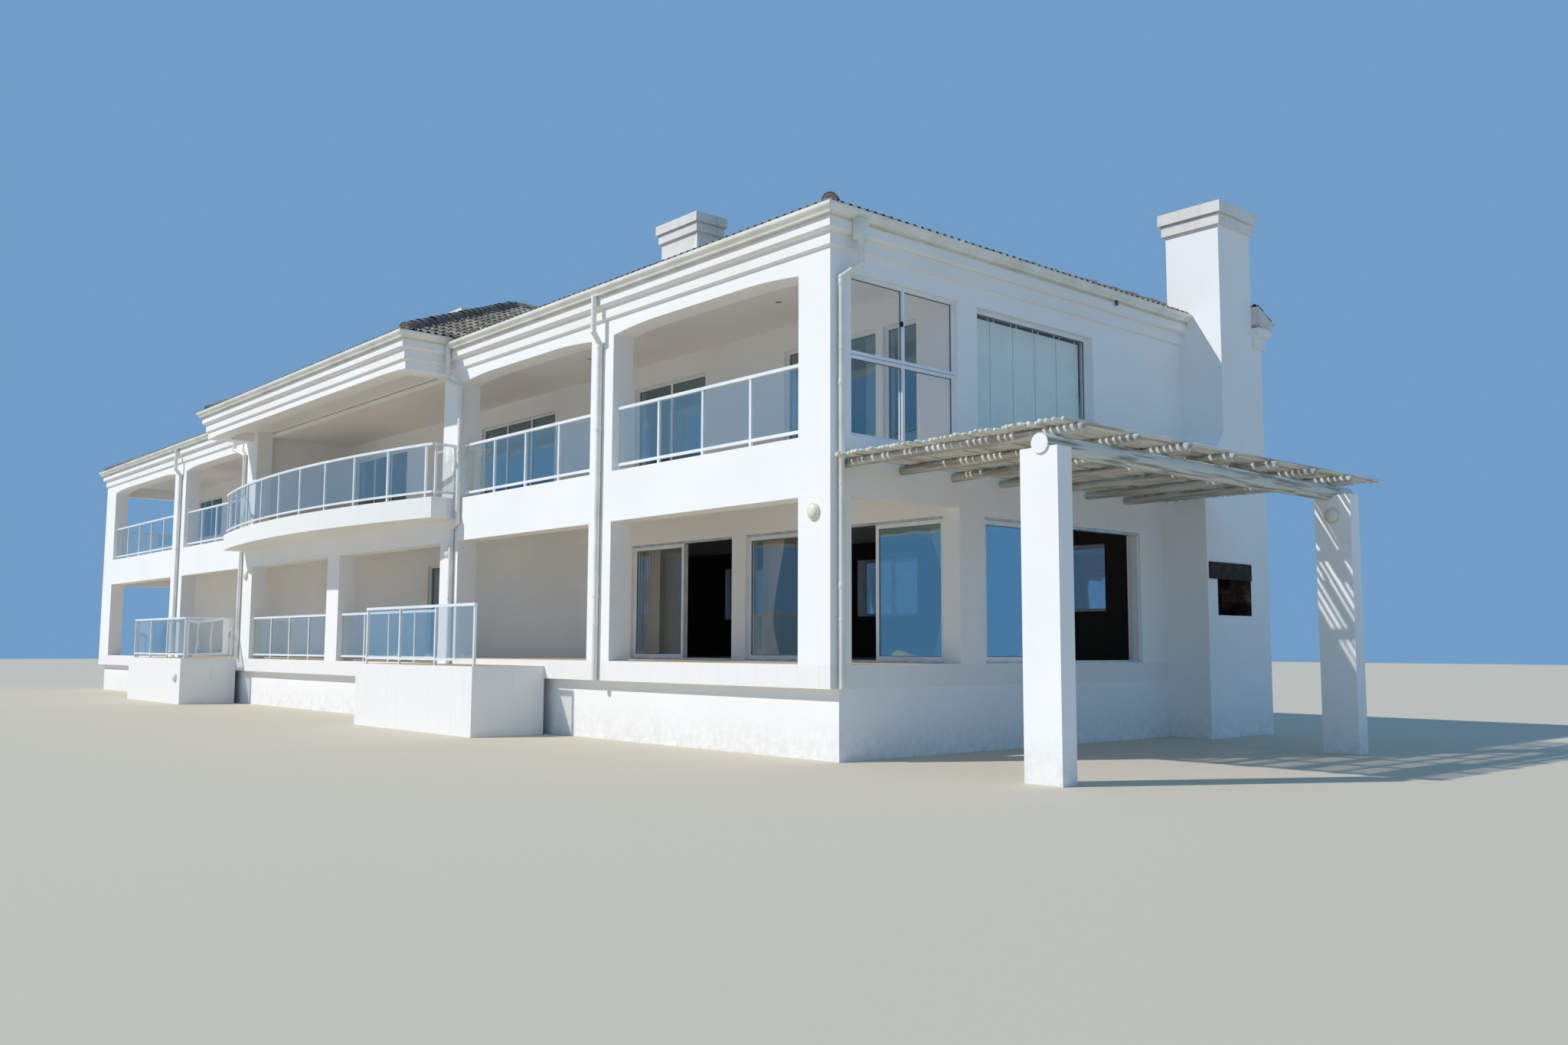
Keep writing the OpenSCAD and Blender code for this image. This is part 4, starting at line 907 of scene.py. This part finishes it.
fit(repeat(downlight(), [Matrix.Translation(at(*d)) for d in DOWNLIGHTS]), "downlights", None)

# Rain pipe fittings
PIPE_R, PIPE_OUT = 0.045, 0.051
CLIP_GAP, SOCKET_GAP = 1.5, 2.6
PIPE_TOP = 4.9      # where a pipe bends in to its swan neck
# Each straight run: its place in plan, its foot and its top
PIPES = [(-5.2, -PIPE_OUT, -0.3, PIPE_TOP), (-21.19, -PIPE_OUT, -0.1, PIPE_TOP),
         (-26.36, -PIPE_OUT, -0.4, PIPE_TOP), (-9.8, -PIPE_OUT, 2.6, PIPE_TOP),
         (-10.02, -PIPE_OUT, -0.1, 2.3), (PIPE_OUT, 0.145, -0.3, 4.85),
         (-8.0, DEEP + PIPE_OUT, -0.3, PIPE_TOP), (-26.3, DEEP + PIPE_OUT, -0.3, PIPE_TOP)]


def pipe_ring(radius, tall, edge):
    return modify(rod(28, radius, tall), "BEVEL", width=edge, segments=2, angle_limit=math.radians(60))


clips = [Matrix.Translation(at(x, y, z)) for x, y, low, high in PIPES for z in spaced(low, high, CLIP_GAP)]
fit(repeat(pipe_ring(PIPE_R + 0.004, 0.024, 0.0015), clips), "pipe_clips", gutter_white,
    smooth=35)
sockets = [Matrix.Translation(at(x, y, z)) for x, y, low, high in PIPES
           for z in spaced(low, high, SOCKET_GAP) + [high]]
fit(repeat(pipe_ring(PIPE_R + 0.006, 0.075, 0.004), sockets), "pipe_sockets", gutter_white,
    smooth=35)

OUTLET_AT, OUTLET_R, OUTLET_LONG = (0.156, 6.1, 5.655), 0.022, 0.075


def open_outlet():
    """A short outlet under the gutter, its lower end hollow."""
    piece = pipe_ring(OUTLET_R, OUTLET_LONG, 0.002)
    return sink(piece, lambda p: p.z < 0.0005 - OUTLET_LONG / 2 and p.x ** 2 + p.y ** 2 < 0.0002, 0.004,
                (0, 0, 0.06))


fit(repeat(open_outlet(), [Matrix.Translation(at(*OUTLET_AT))]), "gutter_outlet", outlet_dark,
    smooth=35)

# Glazing rubber and the lock
RUBBER_WIDE, RUBBER_PROUD = 0.007, 0.003


def gasket(size):
    """The rubber seal of a pane of the given size, its low corner at the origin: a block over the pane, a bit
    proud of both faces, with its middle opened through."""
    thin = 0 if size[0] < size[1] else 1
    proud = Vector([RUBBER_PROUD if axis == thin else 0.0 for axis in range(3)])
    piece = block(-proud, Vector(size) + proud)
    pick(piece, lambda p: abs(p[thin] - size[thin] / 2) > 0.4 * size[thin], "FACE")
    bpy.ops.mesh.inset(thickness=RUBBER_WIDE)
    bpy.ops.mesh.bridge_edge_loops()
    return done(piece)


def gaskets(name, panes, body):
    """Seals for all panes of a node; panes of one size share one model."""
    sizes = {}
    for low, high in solids_of(panes):
        sizes.setdefault(tuple(round(v, 3) for v in high - low), []).append(Matrix.Translation(low))
    rings = join([repeat(gasket(size), places) for size, places in sizes.items()])
    return fit(rings, name, rubber, body)


gaskets("window_gaskets", "window_glass", "house")
for door in ("terrace_door", "lounge_door", "side_door"):
    gaskets(door + "_gasket", door + "_glass", door)

# The wind screen: its middle rail and the lock of its sliding sash
MIDDLE_RAIL, SEAL_HALF = 3.99, 0.0035
LOCK_AT = (-0.061, 1.366, 4.535)

seal = block(at(-0.066, 0.425, MIDDLE_RAIL - SEAL_HALF), at(-0.0585, 2.425, MIDDLE_RAIL + SEAL_HALF), 0.001)
fit(seal, "screen_rail_seal", rubber)


def sash_lock():
    """The lock of the sliding sash in the wind screen: a rounded case with a key barrel."""
    case = block((0.0, -0.02, -0.035), (0.03, 0.02, 0.035), 0.006, 3)
    barrel = rod(20, 0.011, 0.012, (0.034, 0, -0.008), (0, 90, 0))
    modify(barrel, "BEVEL", width=0.0015, segments=2, angle_limit=math.radians(60))
    return join([case, barrel])


lock = repeat(sash_lock(), [Matrix.Translation(at(*LOCK_AT))])
fit(lock, "screen_lock", hood_steel, smooth=40)

# Blind
BLIND_X, BLIND_Y, BLIND_Z = -0.215, (2.9, 5.54), (3.04, 4.945)
CLOTH_W, CLOTH_STEP, CLOTH_T = 0.57, 0.53, 0.001
CLOTH_TILT = 0.8    # degrees, so that the panels lap
BAR_HALF = 0.01
RAIL_FOOT, RAIL_TOP, RAIL_HALF = 0.065, 0.09, 0.02


def blind_panel():
    """A cloth panel of the sliding blind: its edges lap over the next one's. Its carrier bar hangs by two
    clips from the rail, and a hem bar keeps it straight."""
    half_w, half_h = CLOTH_W / 2, (BLIND_Z[1] - BLIND_Z[0]) / 2
    piece = grid(6, 1, CLOTH_W, 2 * half_h)
    for reach, rise in ((0.2, 0.0012), (0.1, 0.0008)):
        raise_points(piece, lambda p: abs(p.x) < reach, rise)
    modify(piece, "SOLIDIFY", thickness=CLOTH_T)
    piece.data.transform(turned(90, "Z") @ turned(90, "X"))
    bars = [block((-0.003, -half_w, z - BAR_HALF), (0.004, half_w, z + BAR_HALF), 0.002)
            for z in (-half_h, half_h)]
    clips = [block((-0.002, y - BAR_HALF, half_h), (0.002, y + BAR_HALF, half_h + RAIL_FOOT + 0.003), 0.001)
             for y in (-0.2, 0.2)]
    piece = join([piece] + bars + clips)
    piece.data.transform(turned(CLOTH_TILT, "Z"))
    return piece


panels = [Matrix.Translation(at(BLIND_X, y, sum(BLIND_Z) / 2)) for y in spaced(*BLIND_Y, CLOTH_STEP)]
fit(repeat(blind_panel(), panels), "window_blind_panels", blind_cloth, smooth=60)
rail = block(at(BLIND_X - RAIL_HALF, BLIND_Y[0], BLIND_Z[1] + RAIL_FOOT),
             at(BLIND_X + RAIL_HALF, BLIND_Y[1], BLIND_Z[1] + RAIL_TOP), 0.003, 2)
fit(rail, "window_blind_rail", frame_white)

# Curtains
CURTAIN_Y = 2.8     # the plane of the rails, inside the front wall
DOOR_DROP, UPPER_DROP = (0.04, 2.1), (2.84, 5.0)
RAIL_OVER = 0.02    # how far a rail's middle lies above its cloth
# Left and right end and height of each rail
RAILS = [(-4.75, -0.35, DOOR_DROP[1] + RAIL_OVER), (-8.0, -4.85, DOOR_DROP[1] + RAIL_OVER),
         (-3.75, -1.5, UPPER_DROP[1] + RAIL_OVER)]
PLEAT_COLUMNS, CLOTH_ROWS = 12, 28
DRAWN_IN = 0.55     # share of a curtain's width that a tie takes up
depths = {}


def pleat_depth(wide, cloth_wide, waves):
    """How deep pleats must swing for a given width of cloth to hang gathered into a narrower one."""
    low, high = 0.0, 0.5
    steps = 24 * waves
    for trial in range(24):
        depth = (low + high) / 2
        xs = [(wide * i / steps, depth * math.sin(2 * math.pi * waves * i / steps)) for i in range(steps + 1)]
        run = sum(math.dist(a, b) for a, b in zip(xs, xs[1:]))
        low, high = (depth, high) if run < cloth_wide else (low, depth)
    return low


def pleat_depth_at(width, cloth_wide, waves):
    """The depth for a width to the millimetre, worked out once."""
    key = (round(width, 3), cloth_wide, waves)
    if key not in depths:
        depths[key] = pleat_depth(width, cloth_wide, waves)
    return depths[key]


def curtain(name, x, z, wide, cloth_wide, waves, finish, tie=None):
    """A curtain that hangs in pleats from its rail, drawn in to one side at the tie where it has one. x is
    the edge that stays by the jamb, and the sign of wide says to which side the curtain spreads."""
    low, high = z
    tall = high - low
    piece = grid(waves * PLEAT_COLUMNS, CLOTH_ROWS, 1, 1)
    for point in piece.data.vertices:
        across, up = point.co.x + 0.5, point.co.y + 0.5
        width = abs(wide)
        if tie is not None:
            pull = max(0.0, 1.0 - abs(up - tie) / (1.0 - tie if up > tie else tie * 1.6))
            width *= 1.0 - DRAWN_IN * pull * pull * (3 - 2 * pull)
        wobble = 1.0 + 0.12 * math.sin(5.0 * across + 7.0 * up)
        swing = pleat_depth_at(width, cloth_wide, waves) * math.sin(2 * math.pi * waves * across) * wobble
        point.co = Vector((math.copysign(across * width, wide) + x, CURTAIN_Y + swing, low + up * tall))
    piece.data.transform(Matrix.Translation(ROW))
    modify(piece, "SOLIDIFY", thickness=0.0015, offset=0)
    fit(piece, name, finish, smooth=80)
    return piece


def curtain_rail(x0, x1, z):
    """A tube rail with ball ends, held under the lintel inside the room."""
    piece = rod(16, 0.014, x1 - x0, ((x0 + x1) / 2, CURTAIN_Y, z), (0, 90, 0))
    for end, way in ((x0, -1), (x1, 1)):
        for wider, out in ((1.0, 0.004), (1.7, 0.012), (1.0, 0.016), (0.45, 0.01)):
            pick(piece, lambda p: (p.x - end) * way > -0.0005, "FACE")
            bpy.ops.mesh.extrude_region_move(TRANSFORM_OT_translate={"value": (way * out, 0, 0)})
            bpy.ops.transform.resize(value=(1, wider, wider), center_override=(end, CURTAIN_Y, z))
            done(piece)
            end += way * out
    piece.data.transform(Matrix.Translation(ROW))
    return piece


fit(join([curtain_rail(*ends) for ends in RAILS]), "curtain_rails", plated, smooth=40)
curtain("terrace_curtain_left", -4.56, DOOR_DROP, 0.54, 1.3, 7, curtain_cream, 0.3)
curtain("terrace_curtain_right", -0.36, DOOR_DROP, -0.5, 1.3, 7, curtain_aqua, 0.5)
curtain("lounge_curtain_left", -7.95, DOOR_DROP, 0.5, 1.1, 6, curtain_cream)
curtain("upper_curtain", -1.62, UPPER_DROP, -0.5, 1.1, 6, curtain_aqua)

# Floor
clear()
bpy.ops.mesh.primitive_plane_add(size=240, location=(0, 0, -0.001))
ground = bpy.context.object
ground.name = "studio_floor"
ground.data.materials.append(surface("pale_floor", Base_Color=srgb("#CDC2AE"), Roughness=0.95)[0])

# Light: the sun from the front left, and an even sky
SUN_WAY = (0.565, 0.946, -1.0)
SUN_POWER, SKY_POWER = 3.05, 0.64

sun = bpy.data.objects.new("key_light", bpy.data.lights.new("key_light", "SUN"))
sun.data.energy = SUN_POWER
sun.data.color = (1.0, 0.96, 0.9)
sun.data.angle = math.radians(1.0)
sun.rotation_euler = Vector(SUN_WAY).to_track_quat("-Z", "Y").to_euler()
bpy.context.scene.collection.objects.link(sun)

world = bpy.data.worlds.new("studio")
bpy.context.scene.world = world
world.use_nodes = True
sky = world.node_tree.nodes["Background"].inputs
sky["Color"].default_value = srgb("#8CC0F2")
sky["Strength"].default_value = SKY_POWER
bpy.context.scene.view_settings.view_transform = "Standard"
